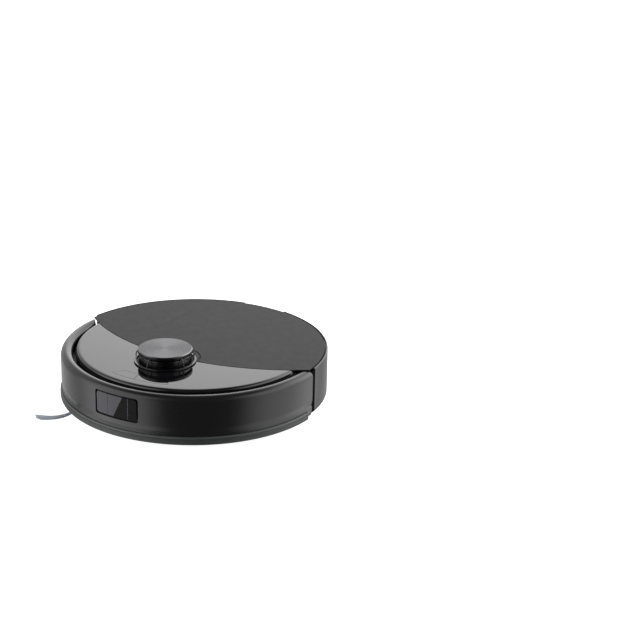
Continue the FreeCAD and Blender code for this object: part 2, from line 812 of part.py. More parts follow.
def make_lidar_belt():
    """A flat belt round the rotor's pulley and the motor's, with straight tangent runs."""
    big = Vector(0, SIZES["turret_y"], 0)
    small = Vector(SIZES["lidar_motor_x"], SIZES["lidar_motor_y"], 0)
    reach = small - big
    low, tall = SIZES["rotor_bottom"] + 1.0, 4.0

    def loop(extra):
        r_big = SIZES["pulley_radius"] + SIZES["belt_gap"] + extra
        r_small = SIZES["motor_pulley_radius"] + SIZES["belt_gap"] + extra
        lean = math.acos((r_big - r_small) / reach.Length)
        heading = math.atan2(reach.y, reach.x)
        corners = []
        wheels = ((big, r_big), (small, r_small))
        for (centre, radius), sign in ((wheels[0], 1), (wheels[1], 1), (wheels[1], -1), (wheels[0], -1)):
            angle = heading + sign * lean
            corners.append(centre + Vector(radius * math.cos(angle), radius * math.sin(angle), 0))
        middle = Part.Face(Part.makePolygon(corners + [corners[0]])).extrude(Vector(0, 0, tall))
        ends = [Part.makeCylinder(radius, tall, centre) for centre, radius in wheels]
        return middle.multiFuse(ends).removeSplitter()

    belt = doc.addObject("Part::Feature", "Belt")
    belt.Shape = loop(SIZES["belt_thickness"]).cut(loop(0.0))
    return place(belt, 0, 0, low)


def make_lidar_motor():
    can = cylinder(12.0, 18.0, d.lidar_motor_x, d.lidar_motor_y, 44.0)
    flange = cylinder(15.0, 1.6, d.lidar_motor_x, d.lidar_motor_y, 62.0)
    shaft = cylinder(1.0, 8.0, d.lidar_motor_x, d.lidar_motor_y, 62.0)
    return fuse(can, flange, shaft)


def make_motor_pulley():
    groove = d.motor_pulley_radius
    return revolve([
        (1.0 + d.running_gap, d.rotor_bottom - 0.2), (groove + 1, d.rotor_bottom - 0.2),
        (groove + 1, d.rotor_bottom + 0.6), (groove, d.rotor_bottom + 0.6),
        (groove, d.rotor_bottom + 5.4), (groove + 1, d.rotor_bottom + 5.4),
        (groove + 1, d.rotor_bottom + 6.2),
        (1.0 + d.running_gap, d.rotor_bottom + 6.2),
    ], d.lidar_motor_x, d.lidar_motor_y)


node("lidar_base", make_lidar_base())
node("lidar_ring", make_lidar_ring())
node("lidar_cap", make_lidar_cap())
node("lidar_rotor", make_lidar_rotor())
node("lidar_lenses", make_lidar_lenses())
node("lidar_belt", make_lidar_belt())
node("lidar_motor", make_lidar_motor())
node("lidar_motor_pulley", make_motor_pulley())


# ---------------------------------------------------------------- buttons


def make_key(side):
    """One of the two keys: the panel's outline, cut along the slanted divider."""
    half_gap = 0.2 * side
    back, front = d.key_divider_back_x + half_gap, d.key_divider_front_x + half_gap
    keep = pad([
        (front, -d.key_front_radius), (back, -d.key_back_radius), (back, -d.key_back_radius + 20.0),
        (side * FAR, -d.key_back_radius + 20.0), (side * FAR, -d.key_front_radius - 20.0),
        (front, -d.key_front_radius - 20.0),
    ], 50, 90)
    stem_x = d.key_right_x if side > 0 else d.key_left_x
    stem_length = d.key_bottom + 0.5 - KEY_STEM_BOTTOM
    stem = cylinder(KEY_STEM_RADIUS, stem_length, stem_x, d.key_stem_y, KEY_STEM_BOTTOM)
    return fuse(common(key_block(SIZES["key_gap"], d.key_bottom, d.key_top), keep), stem)


def make_button_board():
    board = box(-36, 52, -141, -117, 68.0, 69.6)
    switches = [cylinder(3.0, 2.4, x, d.key_stem_y, 69.6) for x in (d.key_left_x, d.key_right_x)]
    standoffs = [box(x - 2, x + 2, -121, -118, 69.6, d.tray_bottom) for x in (-30.0, 46.0)]
    return fuse(board, *switches, *standoffs)


node("power_button", make_key(-1))
node("home_button", make_key(1))
node("button_board", make_button_board())


# ---------------------------------------------------------------- drive wheels


def make_wheel_housing():
    block = box(d.well_inner, d.well_outer, d.well_front, d.well_back, d.base_top, d.tray_bottom)
    hollow = box(d.well_inner + d.well_wall, d.well_outer - d.well_wall, d.well_front + d.well_wall,
                 d.well_back - d.well_wall, 0, d.tray_bottom - d.well_wall)
    pin = cylinder(d.pivot_pin_radius, 27.0, d.well_inner + 0.5, d.pivot_y, d.wheel_axle_z, "X")
    return fuse(cut(block, hollow), pin)


def make_wheel_arm():
    inner, outer = 92.5, 103.8
    width = outer - inner
    gearbox = fuse(
        cylinder(19.0, width, inner, 0, d.wheel_axle_z, "X"),
        cylinder(8.0, width, inner, d.pivot_y, d.wheel_axle_z, "X"),
        box(inner, outer, d.pivot_y, 0, d.wheel_axle_z - 8, d.wheel_axle_z + 8),
    )
    return cut(
        gearbox,
        cylinder(d.pivot_pin_radius + d.running_gap, 40, 80, d.pivot_y, d.wheel_axle_z, "X"),
        cylinder(d.axle_radius + d.running_gap, 40, 80, 0, d.wheel_axle_z, "X"),
    )


def make_wheel_hub():
    rim = cylinder(d.rim_radius, d.tyre_outer - d.tyre_inner - 1.5, d.tyre_inner, 0, d.wheel_axle_z, "X")
    dish = cylinder(d.rim_radius - 4, 20, d.tyre_outer - 6, 0, d.wheel_axle_z, "X")
    spokes = []
    for step in range(5):
        spoke = box(d.tyre_outer - 7, d.tyre_outer - 3, -2, 2,
                    d.wheel_axle_z, d.wheel_axle_z + d.rim_radius - 3)
        spokes.append(turned(spoke, 72.0 * step, 0, 0, d.wheel_axle_z, Vector(1, 0, 0)))
    boss = cylinder(6.0, 4.0, d.tyre_outer - 7, 0, d.wheel_axle_z, "X")
    axle = cylinder(d.axle_radius, 14.0, 93.0, 0, d.wheel_axle_z, "X")
    return fuse(cut(rim, dish), boss, axle, *spokes)


def make_tyre():
    width = d.tyre_outer - d.tyre_inner
    ring = tube(d.wheel_radius, d.rim_radius, width, d.tyre_inner, 0, d.wheel_axle_z, "X")
    ring = soften(ring, 1.8, lambda e: e.BoundBox.ZLength > 2 * SIZES["wheel_radius"] - 1)
    grooves = []
    count = 20
    for step in range(count):
        groove = box(d.tyre_inner - 1, d.tyre_outer + 1, -1.6, 1.6,
                     d.wheel_axle_z + d.wheel_radius - 1.6, d.wheel_axle_z + d.wheel_radius + 4)
        grooves.append(turned(groove, 360.0 / count * (step + 0.5), 0, 0, d.wheel_axle_z, Vector(1, 0, 0)))
    return cut(ring, *grooves)


def make_suspension_springs():
    """A close-wound torsion spring on each pivot pin, with one straight leg."""
    springs = []
    for side in (1, -1):
        turns = []
        for step in range(8):
            ring = doc.addObject("Part::Torus", "Turn")
            ring.Radius1 = 4.0
            ring.Radius2 = 0.5
            turns.append(place(ring, side * (104.8 + 0.9 * step), d.pivot_y, d.wheel_axle_z, TURN_TO["X"]))
        leg = cylinder(0.5, 12.0, side * 104.8, d.pivot_y, d.wheel_axle_z + 4.0, "Y")
        springs.append(fuse(*turns, leg))
    return group(*springs)


for name, make in (("wheel_housing", make_wheel_housing), ("wheel_arm", make_wheel_arm),
                   ("wheel_hub", make_wheel_hub), ("wheel_tyre", make_tyre)):
    left_side = make()
    node(f"{name}_left", left_side)
    node(f"{name}_right", mirrored(left_side))
node("suspension_springs", make_suspension_springs())


# ---------------------------------------------------------------- caster


def make_caster_socket():
    cup = cylinder(d.socket_radius, 20.5, 0, d.caster_y, d.base_top)
    hollow = cylinder(d.socket_inner_radius, 14.0, 0, d.caster_y, d.base_top - 1)
    bore = cylinder(4.0 + d.running_gap, 40, 0, d.caster_y, 10)
    return cut(cup, hollow, bore)


def make_caster_fork():
    body = cylinder(d.caster_radius, 17.0, 0, d.caster_y, 9.5)
    stem = cylinder(4.0, 9.0, 0, d.caster_y, 26.0)
    wheel_y = d.caster_y + d.caster_trail
    slot = cylinder(d.caster_wheel_radius + 1.2, d.caster_wheel_width + 1.6,
                    -0.5 * (d.caster_wheel_width + 1.6), wheel_y, d.caster_wheel_radius, "X")
    mouth = box(-0.5 * (d.caster_wheel_width + 1.6), 0.5 * (d.caster_wheel_width + 1.6),
                wheel_y - d.caster_wheel_radius - 1.2, wheel_y + d.caster_wheel_radius + 1.2,
                0, d.caster_wheel_radius)
    axle = cylinder(1.5, 24.0, -12.0, wheel_y, d.caster_wheel_radius, "X")
    return fuse(cut(fuse(body, stem), slot, mouth), axle)


def make_caster_wheel():
    half = 0.5 * d.caster_wheel_width
    wheel = tube(d.caster_wheel_radius, 1.5 + d.running_gap, d.caster_wheel_width, -half,
                 d.caster_y + d.caster_trail, d.caster_wheel_radius, "X")
    return soften(wheel, 1.6, lambda e: e.BoundBox.ZLength > 2 * SIZES["caster_wheel_radius"] - 1)


node("caster_socket", make_caster_socket())
node("caster_fork", make_caster_fork())
node("caster_wheel", make_caster_wheel())


# ---------------------------------------------------------------- main brush

BAR_NUMBERS = (-1, 0, 1)


def make_brush_housing():
    outer = box(-d.mouth_half_length - 2.5, d.mouth_half_length + 2.5, d.brush_y - d.mouth_radius - 2,
                d.brush_y + d.mouth_radius + 2, d.base_top, d.brush_z + d.mouth_radius + 2.5)
    vault = cylinder(d.mouth_radius, 2 * d.mouth_half_length, -d.mouth_half_length, d.brush_y, d.brush_z, "X")
    mouth = box(-d.mouth_half_length, d.mouth_half_length, d.brush_y - d.mouth_radius,
                d.brush_y + d.mouth_radius, 0, d.brush_z)
    throat = box(-38, 38, d.brush_y + 10, d.brush_y + 40, 41, 49)
    return cut(outer, vault, mouth, throat)


def make_brush_core():
    core = cylinder(d.brush_core_radius, 2 * d.brush_half_length, -d.brush_half_length,
                    d.brush_y, d.brush_z, "X")
    discs = [cylinder(14.0, 2.0, x, d.brush_y, d.brush_z, "X")
             for x in (-d.brush_half_length, d.brush_half_length - 2.0)]
    stubs = cylinder(4.0, 2 * d.brush_half_length + 4.6, -d.brush_half_length - 2.3,
                     d.brush_y, d.brush_z, "X")
    return fuse(core, stubs, *discs)


def make_brush_blades():
    """Six flexible blades, with gaps where the guard's bars cross."""
    blades = []
    for step in range(6):
        blade = box(-d.brush_half_length + 3, d.brush_half_length - 3, d.brush_y - 0.8, d.brush_y + 0.8,
                    d.brush_z + 5, d.brush_z + d.brush_radius)
        blades.append(turned(blade, 60.0 * step + 30.0, 0, d.brush_y, d.brush_z, Vector(1, 0, 0)))
    core = cylinder(d.brush_core_radius, 400, -200, d.brush_y, d.brush_z, "X")
    gaps = [tube(40, d.brush_core_radius + 1.0, 6.0, d.guard_bar_pitch * n - 3.0, d.brush_y, d.brush_z, "X")
            for n in BAR_NUMBERS]
    return cut(fuse(*blades), core, *gaps)


def make_end_bearings():
    length = 2.2
    return group(*[tube(8.0, 4.0 + d.running_gap, length, x, d.brush_y, d.brush_z, "X")
                   for x in (-d.mouth_half_length, d.mouth_half_length - length)])


def make_brush_guard():
    half = d.mouth_half_length - 0.5
    front, back = d.brush_y - d.mouth_radius + 0.5, d.brush_y + d.mouth_radius - 0.5
    plate = box(-half, half, front, back, d.guard_bottom, d.guard_top)
    window = box(-half + 1.4, half - 1.4, d.brush_y - 20.0, d.brush_y + 20.0, 0, 40)
    bars = []
    for n in BAR_NUMBERS:
        left = d.guard_bar_pitch * n - 0.5 * d.guard_bar_width
        bars.append(box(left, left + d.guard_bar_width, front + 2, back - 2,
                        d.guard_bottom, d.guard_bottom + 1.6))
    return fuse(cut(plate, window), *bars)


def make_brush_motor():
    motor = cylinder(11.5, 52.0, -78.0, 56.0, 27.5, "X")
    gearbox = box(-88.0, -78.0, 35.0, 72.0, 15.5, 40.0)
    return fuse(motor, soften(gearbox, 3.0, along("X")))


def make_dust_duct():
    back = d.brush_y + d.mouth_radius + 2
    sleeve = box(-39.5, 39.5, back, d.bin_front, 39.5, 50.5)
    return cut(sleeve, box(-38, 38, back - 1, d.bin_front + 1, 41, 49))


node("brush_housing", make_brush_housing())
node("brush_core", make_brush_core())
node("brush_blades", make_brush_blades())
node("brush_end_bearings", make_end_bearings())
node("brush_guard", make_brush_guard())
node("brush_motor", make_brush_motor())
node("dust_duct", make_dust_duct())


# ---------------------------------------------------------------- side brush


def make_side_brush_hub():
    dome = cone(d.side_brush_hub_radius - 4, d.side_brush_hub_radius, 3.0,
                d.side_brush_x, d.side_brush_y, 5.5)
    disc = cylinder(d.side_brush_hub_radius, 3.0, d.side_brush_x, d.side_brush_y, 8.5)
    shaft = cylinder(3.0, 14.0, d.side_brush_x, d.side_brush_y, 10.0)
    return fuse(dome, disc, shaft)


def make_side_brush_arms():
    """Three bristle tufts: a thin stem that fans out towards its tip."""
    arms = []
    rest_angle = -119.4
    for step in range(3):
        stem = pad([
            (d.side_brush_hub_radius - 1.0, -2.4), (d.side_brush_reach - 26, -2.6),
            (d.side_brush_reach, -8.0), (d.side_brush_reach, 8.0),
            (d.side_brush_reach - 26, 2.6), (d.side_brush_hub_radius - 1.0, 2.4),
        ], 2.6, 5.4)
        root = box(6.0, d.side_brush_hub_radius + 1.0, -2.4, 2.4, 2.6, 5.5)
        arm = turned(fuse(stem, root), rest_angle + 120.0 * step)
        place(arm, d.side_brush_x, d.side_brush_y, 0, Rotation(Vector(0, 0, 1), rest_angle + 120.0 * step))
        arms.append(arm)
    return group(*arms)


def make_side_brush_gearbox():
    block = box(-104.0, -76.0, -110.0, -82.0, d.base_top, 34.0)
    motor = cylinder(9.0, 22.0, -84.0, -90.0, 34.0)
    bore = cylinder(3.0 + d.running_gap, 12.0, d.side_brush_x, d.side_brush_y, d.base_top - 1)
    return cut(fuse(block, motor), bore)


node("side_brush_hub", make_side_brush_hub())
node("side_brush_arms", make_side_brush_arms())
node("side_brush_gearbox", make_side_brush_gearbox())


# ---------------------------------------------------------------- dust bin, filter and fan

FILTER_Y = (56.0, 100.0)
FILTER_Z = (44.5, 68.0)


def make_bin_tub():
    outer = box(-d.bin_half_width, d.bin_half_width, d.bin_front, d.bin_back, d.bin_bottom, d.bin_top)
    outer = soften(outer, 6.0, along("Z"))
    wall = d.bin_wall
    hollow = box(-d.bin_half_width + wall, d.bin_half_width - wall, d.bin_front + wall, d.bin_back - wall,
                 d.bin_bottom + wall, 90)
    inlet = box(-38, 38, d.bin_front - 5, d.bin_front + 5, 42, 49)
    outlet = box(60, 80, *FILTER_Y, *FILTER_Z)
    return cut(outer, hollow, inlet, outlet)


def make_bin_lid():
    half = d.bin_half_width - 0.4
    plate = box(-half, half, d.bin_front + 0.4, d.bin_back - 0.4, d.bin_top, d.bin_top + 2.4)
    grip = box(-30, 30, 84, 104, d.bin_top + 1.0, 90)
    handle = box(-30, 30, 92, 96, d.bin_top + 1.0, d.bin_top + 2.4)
    return fuse(cut(soften(plate, 6.0, along("Z")), grip), handle)


def make_filter_frame():
    x1 = d.bin_half_width - d.bin_wall
    frame = box(x1 - 6.0, x1, 52, 104, 42.2, 70.5)
    return cut(frame, box(x1 - 10, x1 + 2, *FILTER_Y, *FILTER_Z))


def make_filter_media():
    x1 = d.bin_half_width - d.bin_wall
    folds = []
    pitch = (FILTER_Y[1] - FILTER_Y[0]) / 11
    for step in range(11):
        y = FILTER_Y[0] + pitch * step
        folds.append(box(x1 - 5.5, x1 - 0.5, y + 0.9, y + pitch - 0.9, *FILTER_Z))
    backing = box(x1 - 3.4, x1 - 2.6, *FILTER_Y, *FILTER_Z)
    return fuse(backing, *folds)


def make_fan_housing():
    wall = 2.0
    can = cylinder(d.fan_radius, d.fan_back - d.fan_front, d.fan_front, d.fan_y, d.fan_z, "X")
    hollow = cylinder(d.fan_radius - wall, d.fan_back - d.fan_front - 2 * wall, d.fan_front + wall,
                      d.fan_y, d.fan_z, "X")
    x0, x1 = d.exhaust_x, d.exhaust_x + d.exhaust_width
    z0, z1 = d.exhaust_bottom, d.exhaust_bottom + d.exhaust_height
    duct = common(box(x0, x1, d.fan_y, 155, z0, z1), cylinder(d.shell_inner_radius, 90))
    passage = box(x0 + wall, x1 - wall, d.fan_y, 160, z0 + wall, z1 - wall)
    inlet = cylinder(12.0, 10, d.fan_front - 5, d.fan_y, d.fan_z, "X")
    shaft_bore = cylinder(4.0, 10, d.fan_back - 5, d.fan_y, d.fan_z, "X")
    trimmed = cut(cut(duct, passage),
                  cylinder(d.fan_radius - wall, 60, d.fan_front - 10, d.fan_y, d.fan_z, "X"))
    doorway = common(cylinder(d.fan_radius + 1, 60, d.fan_front - 10, d.fan_y, d.fan_z, "X"),
                     box(x0 + wall, x1 - wall, d.fan_y + 5, 145, z0 + wall, z1 - wall))
    return cut(fuse(cut(can, hollow), trimmed), inlet, shaft_bore, doorway)


def make_fan_motor():
    can = cylinder(13.0, 20.0, d.fan_back, d.fan_y, d.fan_z, "X")
    tail = cylinder(6.0, 3.0, d.fan_back + 20.0, d.fan_y, d.fan_z, "X")
    shaft_hole = cylinder(1.5 + d.running_gap, 12.0, d.fan_back - 1, d.fan_y, d.fan_z, "X")
    return cut(fuse(can, tail), shaft_hole)


def make_fan_impeller():
    back_plate = cylinder(17.0, 1.4, 94.0, d.fan_y, d.fan_z, "X")
    hub = cylinder(5.0, 12.0, 83.0, d.fan_y, d.fan_z, "X")
    shaft = cylinder(1.5, 14.0, 94.0, d.fan_y, d.fan_z, "X")
    blades = []
    for step in range(9):
        blade = box(82.0, 94.5, d.fan_y - 0.6, d.fan_y + 0.6, d.fan_z + 4, d.fan_z + 16.5)
        blades.append(turned(blade, 40.0 * step, 0, d.fan_y, d.fan_z, Vector(1, 0, 0)))
    return fuse(back_plate, hub, shaft, *blades)


def make_exhaust_grille():
    x0, x1 = d.exhaust_x, d.exhaust_x + d.exhaust_width
    z0, z1 = d.exhaust_bottom, d.exhaust_bottom + d.exhaust_height
    panel = common(tube(d.body_radius - 0.3, d.body_radius - 2.6, 100, z=5), box(x0, x1, 120, 180, z0, z1))
    slots = [box(x0 + 2, x1 - 2, 120, 200, z0 + 1.7 + 3.0 * step, z0 + 3.1 + 3.0 * step) for step in range(5)]
    return cut(panel, *slots)


def make_battery_pack():
    pack = box(-d.battery_half_width, d.battery_half_width, d.battery_front, d.battery_back,
               d.base_top + 0.4, d.battery_top)
    return soften(pack, 3.0, along("X"))


def make_main_board():
    board = box(-130, -78, 44, 104, 56.0, 57.6)
    chips = [(-118, 60, 14, 14, 2.0), (-94, 60, 10, 10, 1.6), (-116, 88, 12, 16, 2.4), (-92, 92, 8, 12, 6.0)]
    bodies = [box(x - w / 2, x + w / 2, y - l / 2, y + l / 2, 57.6, 57.6 + h) for x, y, w, l, h in chips]
    legs = [box(x, x + 4, y, y + 4, d.base_top, 56.0) for x, y in ((-130, 44), (-82, 100), (-130, 96))]
    return fuse(board, *bodies, *legs)


def make_speaker():
    return fuse(
        cylinder(SPEAKER_RADIUS, 3.0, *SPEAKER_AT, d.base_top),
        cone(SPEAKER_RADIUS - 1, 9.0, 8.0, *SPEAKER_AT, d.base_top + 3),
        cylinder(9.0, 5.0, *SPEAKER_AT, d.base_top + 11),
    )


node("bin_tub", make_bin_tub())
node("bin_lid", make_bin_lid())
node("filter_frame", make_filter_frame())
node("filter_media", make_filter_media())
node("fan_housing", make_fan_housing())
node("fan_motor", make_fan_motor())
node("fan_impeller", make_fan_impeller())
node("exhaust_grille", make_exhaust_grille())
node("battery_pack", make_battery_pack())
node("main_board", make_main_board())
node("speaker", make_speaker())


# ---------------------------------------------------------------- check and write

doc.recompute()
faults = [f"{obj.Name} ({obj.Label}): {obj.State}" for obj in doc.Objects
          if "Invalid" in obj.State or "Error" in obj.State]
for obj in subparts:
    if obj.Shape.isNull() or not obj.Shape.isValid() or not obj.Shape.Solids:
        faults.append(f"{obj.Label}: no sound solid")
if faults:
    raise RuntimeError("\n".join(faults))
os.makedirs("parts", exist_ok=True)
for obj in subparts:
    obj.Shape.exportStep(f"parts/{obj.Label}.step")
    bounds = obj.Shape.BoundBox
    print(f"{obj.Label:24s} solids {len(obj.Shape.Solids):2d}  volume {obj.Shape.Volume:10.0f}  "
          f"x {bounds.XMin:7.1f} {bounds.XMax:7.1f}  y {bounds.YMin:7.1f} {bounds.YMax:7.1f}  "
          f"z {bounds.ZMin:6.1f} {bounds.ZMax:6.1f}")
print(len(subparts), "sub-parts")
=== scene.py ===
import math
import random

import bmesh
import bpy
from mathutils import Matrix, Quaternion, Vector


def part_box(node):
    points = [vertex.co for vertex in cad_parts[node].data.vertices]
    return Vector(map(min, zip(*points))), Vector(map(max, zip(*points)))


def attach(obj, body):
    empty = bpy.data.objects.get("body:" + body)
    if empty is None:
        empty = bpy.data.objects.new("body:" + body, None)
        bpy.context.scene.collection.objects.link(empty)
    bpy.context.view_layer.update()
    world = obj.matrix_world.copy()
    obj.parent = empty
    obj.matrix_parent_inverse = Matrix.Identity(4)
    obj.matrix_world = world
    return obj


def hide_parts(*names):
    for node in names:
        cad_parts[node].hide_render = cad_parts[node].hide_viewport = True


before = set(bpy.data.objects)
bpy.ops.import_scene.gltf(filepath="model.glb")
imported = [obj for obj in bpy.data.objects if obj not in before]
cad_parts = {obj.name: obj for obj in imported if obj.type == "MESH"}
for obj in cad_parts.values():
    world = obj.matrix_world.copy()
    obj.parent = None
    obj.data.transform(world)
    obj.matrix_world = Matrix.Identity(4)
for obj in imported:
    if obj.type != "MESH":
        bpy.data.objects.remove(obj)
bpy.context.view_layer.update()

MM = 0.001
TURN = 2 * math.pi

# Sizes from the frame, and the few driving sizes that its boxes don't give
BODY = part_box("bumper_shell")[1].x
SHELL_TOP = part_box("rear_side_shell")[1].z
BUMPER_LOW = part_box("bumper_shell")[0].z
BUMPER_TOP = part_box("bumper_shell")[1].z
DECK_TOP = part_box("front_deck")[1].z
LID_LOW, LID_TOP = 76.6 * MM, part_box("top_lid")[1].z
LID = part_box("top_lid")[1].x
CAP_LOW, CAP_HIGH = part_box("lidar_cap")
TURRET = Vector(((CAP_LOW.x + CAP_HIGH.x) / 2, (CAP_LOW.y + CAP_HIGH.y) / 2, 0))
HOOP = (CAP_HIGH.x - CAP_LOW.x) / 2
CAP = 35.2 * MM
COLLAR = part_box("lidar_ring")[1].x
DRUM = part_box("lidar_rotor")[1].x

# The lid's front edge is an arc, cut out round the turret
SEAM_CENTRE = 231 * MM
SEAM_RADIUS = 282 * MM
CUTOUT_Y = -53.3 * MM
CUTOUT = 37.3 * MM
LID_GAP = 1.0 * MM
LIP = 159.5 * MM
DECK_PANEL_LOW = 77 * MM
RING_LOW = 74.2 * MM
FAR = 190 * MM  # beyond the body, for cutters

# The slanted seam between the bumper and the rear shell, and the gap left there
END_X, END_Y, END_SLOPE = 161 * MM, -2.6 * MM, 0.92
END_GAP = 7.0 * MM


# ---------------------------------------------------------------- materials


def srgb(*values):
    """Linear colour from 0-255 display values."""
    def linear(value):
        return value / 255 / 12.92 if value <= 10 else ((value / 255 + 0.055) / 1.055) ** 2.4
    return tuple(linear(value) for value in values) + (1.0,)


class Nodes:
    """A material's node tree, with short calls for the nodes used here."""

    def __init__(self, name):
        self.material = bpy.data.materials.new(name)
        self.material.use_nodes = True
        self.tree = self.material.node_tree
        self.shader = self.tree.nodes["Principled BSDF"]
        self.coords = self.add("ShaderNodeTexCoord").outputs["Object"]

    def add(self, kind, **settings):
        made = self.tree.nodes.new(kind)
        for key, value in settings.items():
            setattr(made, key, value)
        return made

    def join(self, output, target):
        self.tree.links.new(output, target)

    def noise(self, scale, detail):
        made = self.add("ShaderNodeTexNoise")
        made.inputs["Scale"].default_value = scale
        made.inputs["Detail"].default_value = detail
        self.join(self.coords, made.inputs["Vector"])
        return made.outputs["Fac"]

    def span(self, source, low, high, from_low=0.3, from_high=0.7):
        made = self.add("ShaderNodeMapRange")
        self.join(source, made.inputs["Value"])
        made.inputs["From Min"].default_value = from_low
        made.inputs["From Max"].default_value = from_high
        made.inputs["To Min"].default_value = low
        made.inputs["To Max"].default_value = high
        return made.outputs["Result"]

    def math(self, operation, *values):
        made = self.add("ShaderNodeMath", operation=operation)
        for slot, value in enumerate(values):
            if isinstance(value, (int, float)):
                made.inputs[slot].default_value = value
            else:
                self.join(value, made.inputs[slot])
        return made.outputs["Value"]

    def blend_colours(self, factor, first, second):
        made = self.add("ShaderNodeMix", data_type="RGBA")
        self.join(factor, made.inputs["Factor"])
        for name, value in (("A", first), ("B", second)):
            sockets = [s for s in made.inputs if s.name == name and s.type == "RGBA"]
            if isinstance(value, tuple):
                sockets[0].default_value = value
            else:
                self.join(value, sockets[0])
        return [s for s in made.outputs if s.type == "RGBA"][0]

    def bump(self, height, strength, distance):
        made = self.add("ShaderNodeBump")
        made.inputs["Strength"].default_value = strength
        made.inputs["Distance"].default_value = distance
        self.join(height, made.inputs["Height"])
        return made.outputs["Normal"]


def plastic(name, colour, rough, spread=0.05, mottle=0.08, grain=2600, bump=0.12, ior=1.5,
            metallic=0.0):
    """Moulded plastic, rubber or metal: fine grain, faint colour drift and uneven gloss."""
    n = Nodes(name)
    darker = tuple(c * (1 - mottle) for c in colour[:3]) + (1.0,)
    lighter = tuple(min(1.0, c * (1 + mottle)) for c in colour[:3]) + (1.0,)
    n.join(n.blend_colours(n.span(n.noise(38, 4), 0, 1), darker, lighter), n.shader.inputs["Base Color"])
    n.join(n.span(n.noise(120, 5), max(0.0, rough - spread), rough + spread), n.shader.inputs["Roughness"])
    n.join(n.bump(n.noise(grain, 2), bump, 0.05 * MM), n.shader.inputs["Normal"])
    n.shader.inputs["IOR"].default_value = ior
    n.shader.inputs["Metallic"].default_value = metallic
    return n.material


def gloss_black():
    """Piano-black moulding: a clear polished face with faint haze and dust."""
    return plastic("piano_black", srgb(13, 13, 15), 0.035, 0.015, 0.2, 700, 0.006)


def turned_metal():
    """Dark metal faced on a lathe: fine rings that catch the light as radiating sectors."""
    n = Nodes("turned_metal")
    place = n.add("ShaderNodeSeparateXYZ")
    n.join(n.coords, place.inputs["Vector"])
    across = n.math("POWER", place.outputs["X"], 2.0)
    along = n.math("POWER", n.math("SUBTRACT", place.outputs["Y"], TURRET.y), 2.0)
    radius = n.math("SQRT", n.math("ADD", across, along))
    rings = n.add("ShaderNodeTexNoise", noise_dimensions="1D")
    rings.inputs["Scale"].default_value = 5200
    rings.inputs["Detail"].default_value = 3
    n.join(radius, rings.inputs["W"])
    n.join(n.blend_colours(n.span(rings.outputs["Fac"], 0, 1), srgb(46, 46, 48), srgb(72, 72, 74)),
           n.shader.inputs["Base Color"])
    n.join(n.span(rings.outputs["Fac"], 0.2, 0.3), n.shader.inputs["Roughness"])
    n.join(n.bump(rings.outputs["Fac"], 0.1, 0.02 * MM), n.shader.inputs["Normal"])
    n.shader.inputs["Metallic"].default_value = 1.0
    n.shader.inputs["Anisotropic"].default_value = 0.92
    tangent = n.add("ShaderNodeTangent", direction_type="RADIAL", axis="Z")
    n.join(tangent.outputs["Tangent"], n.shader.inputs["Tangent"])
    return n.material


def window_glass():
    """Smoked sensor window with a painted reflection: a pale, rougher part and a dark polished part that meet
    on a slant, with two fine seams.
    """
    n = Nodes("sensor_glass")
    place = n.add("ShaderNodeSeparateXYZ")
    n.join(n.coords, place.inputs["Vector"])
    lean, seam_soft = 0.51, (0.15 * MM, 0.35 * MM)
    slant = n.math("SUBTRACT", place.outputs["X"], n.math("MULTIPLY", place.outputs["Z"], lean))
    edge = 11 * MM - 69 * MM * lean
    polished_beyond_painted_reflection = n.span(slant, 0, 1, edge - 0.15 * MM, edge + 0.15 * MM)
    haze = n.span(n.noise(60, 4), 0.9, 1.1)
    # Painted reflection: the pale grey part left of the slant stands in for a reflection; the part right of
    # the slant is dark and polished.
    colour = n.blend_colours(polished_beyond_painted_reflection, srgb(82, 82, 86), srgb(3, 3, 4))
    for seam_x, shade in ((-12.2 * MM, srgb(30, 30, 32)), (18 * MM, srgb(96, 96, 100))):
        away = n.math("ABSOLUTE", n.math("SUBTRACT", place.outputs["X"], seam_x))
        colour = n.blend_colours(n.span(away, 1, 0, *seam_soft), colour, shade)
    n.join(colour, n.shader.inputs["Base Color"])
    n.join(n.math("MULTIPLY", n.span(polished_beyond_painted_reflection, 0.32, 0.05, 0, 1), haze), n.shader.inputs["Roughness"])
    n.shader.inputs["IOR"].default_value = 1.15
    n.shader.inputs["Coat Weight"].default_value = 0.03
    n.shader.inputs["Coat Roughness"].default_value = 0.03
    return n.material


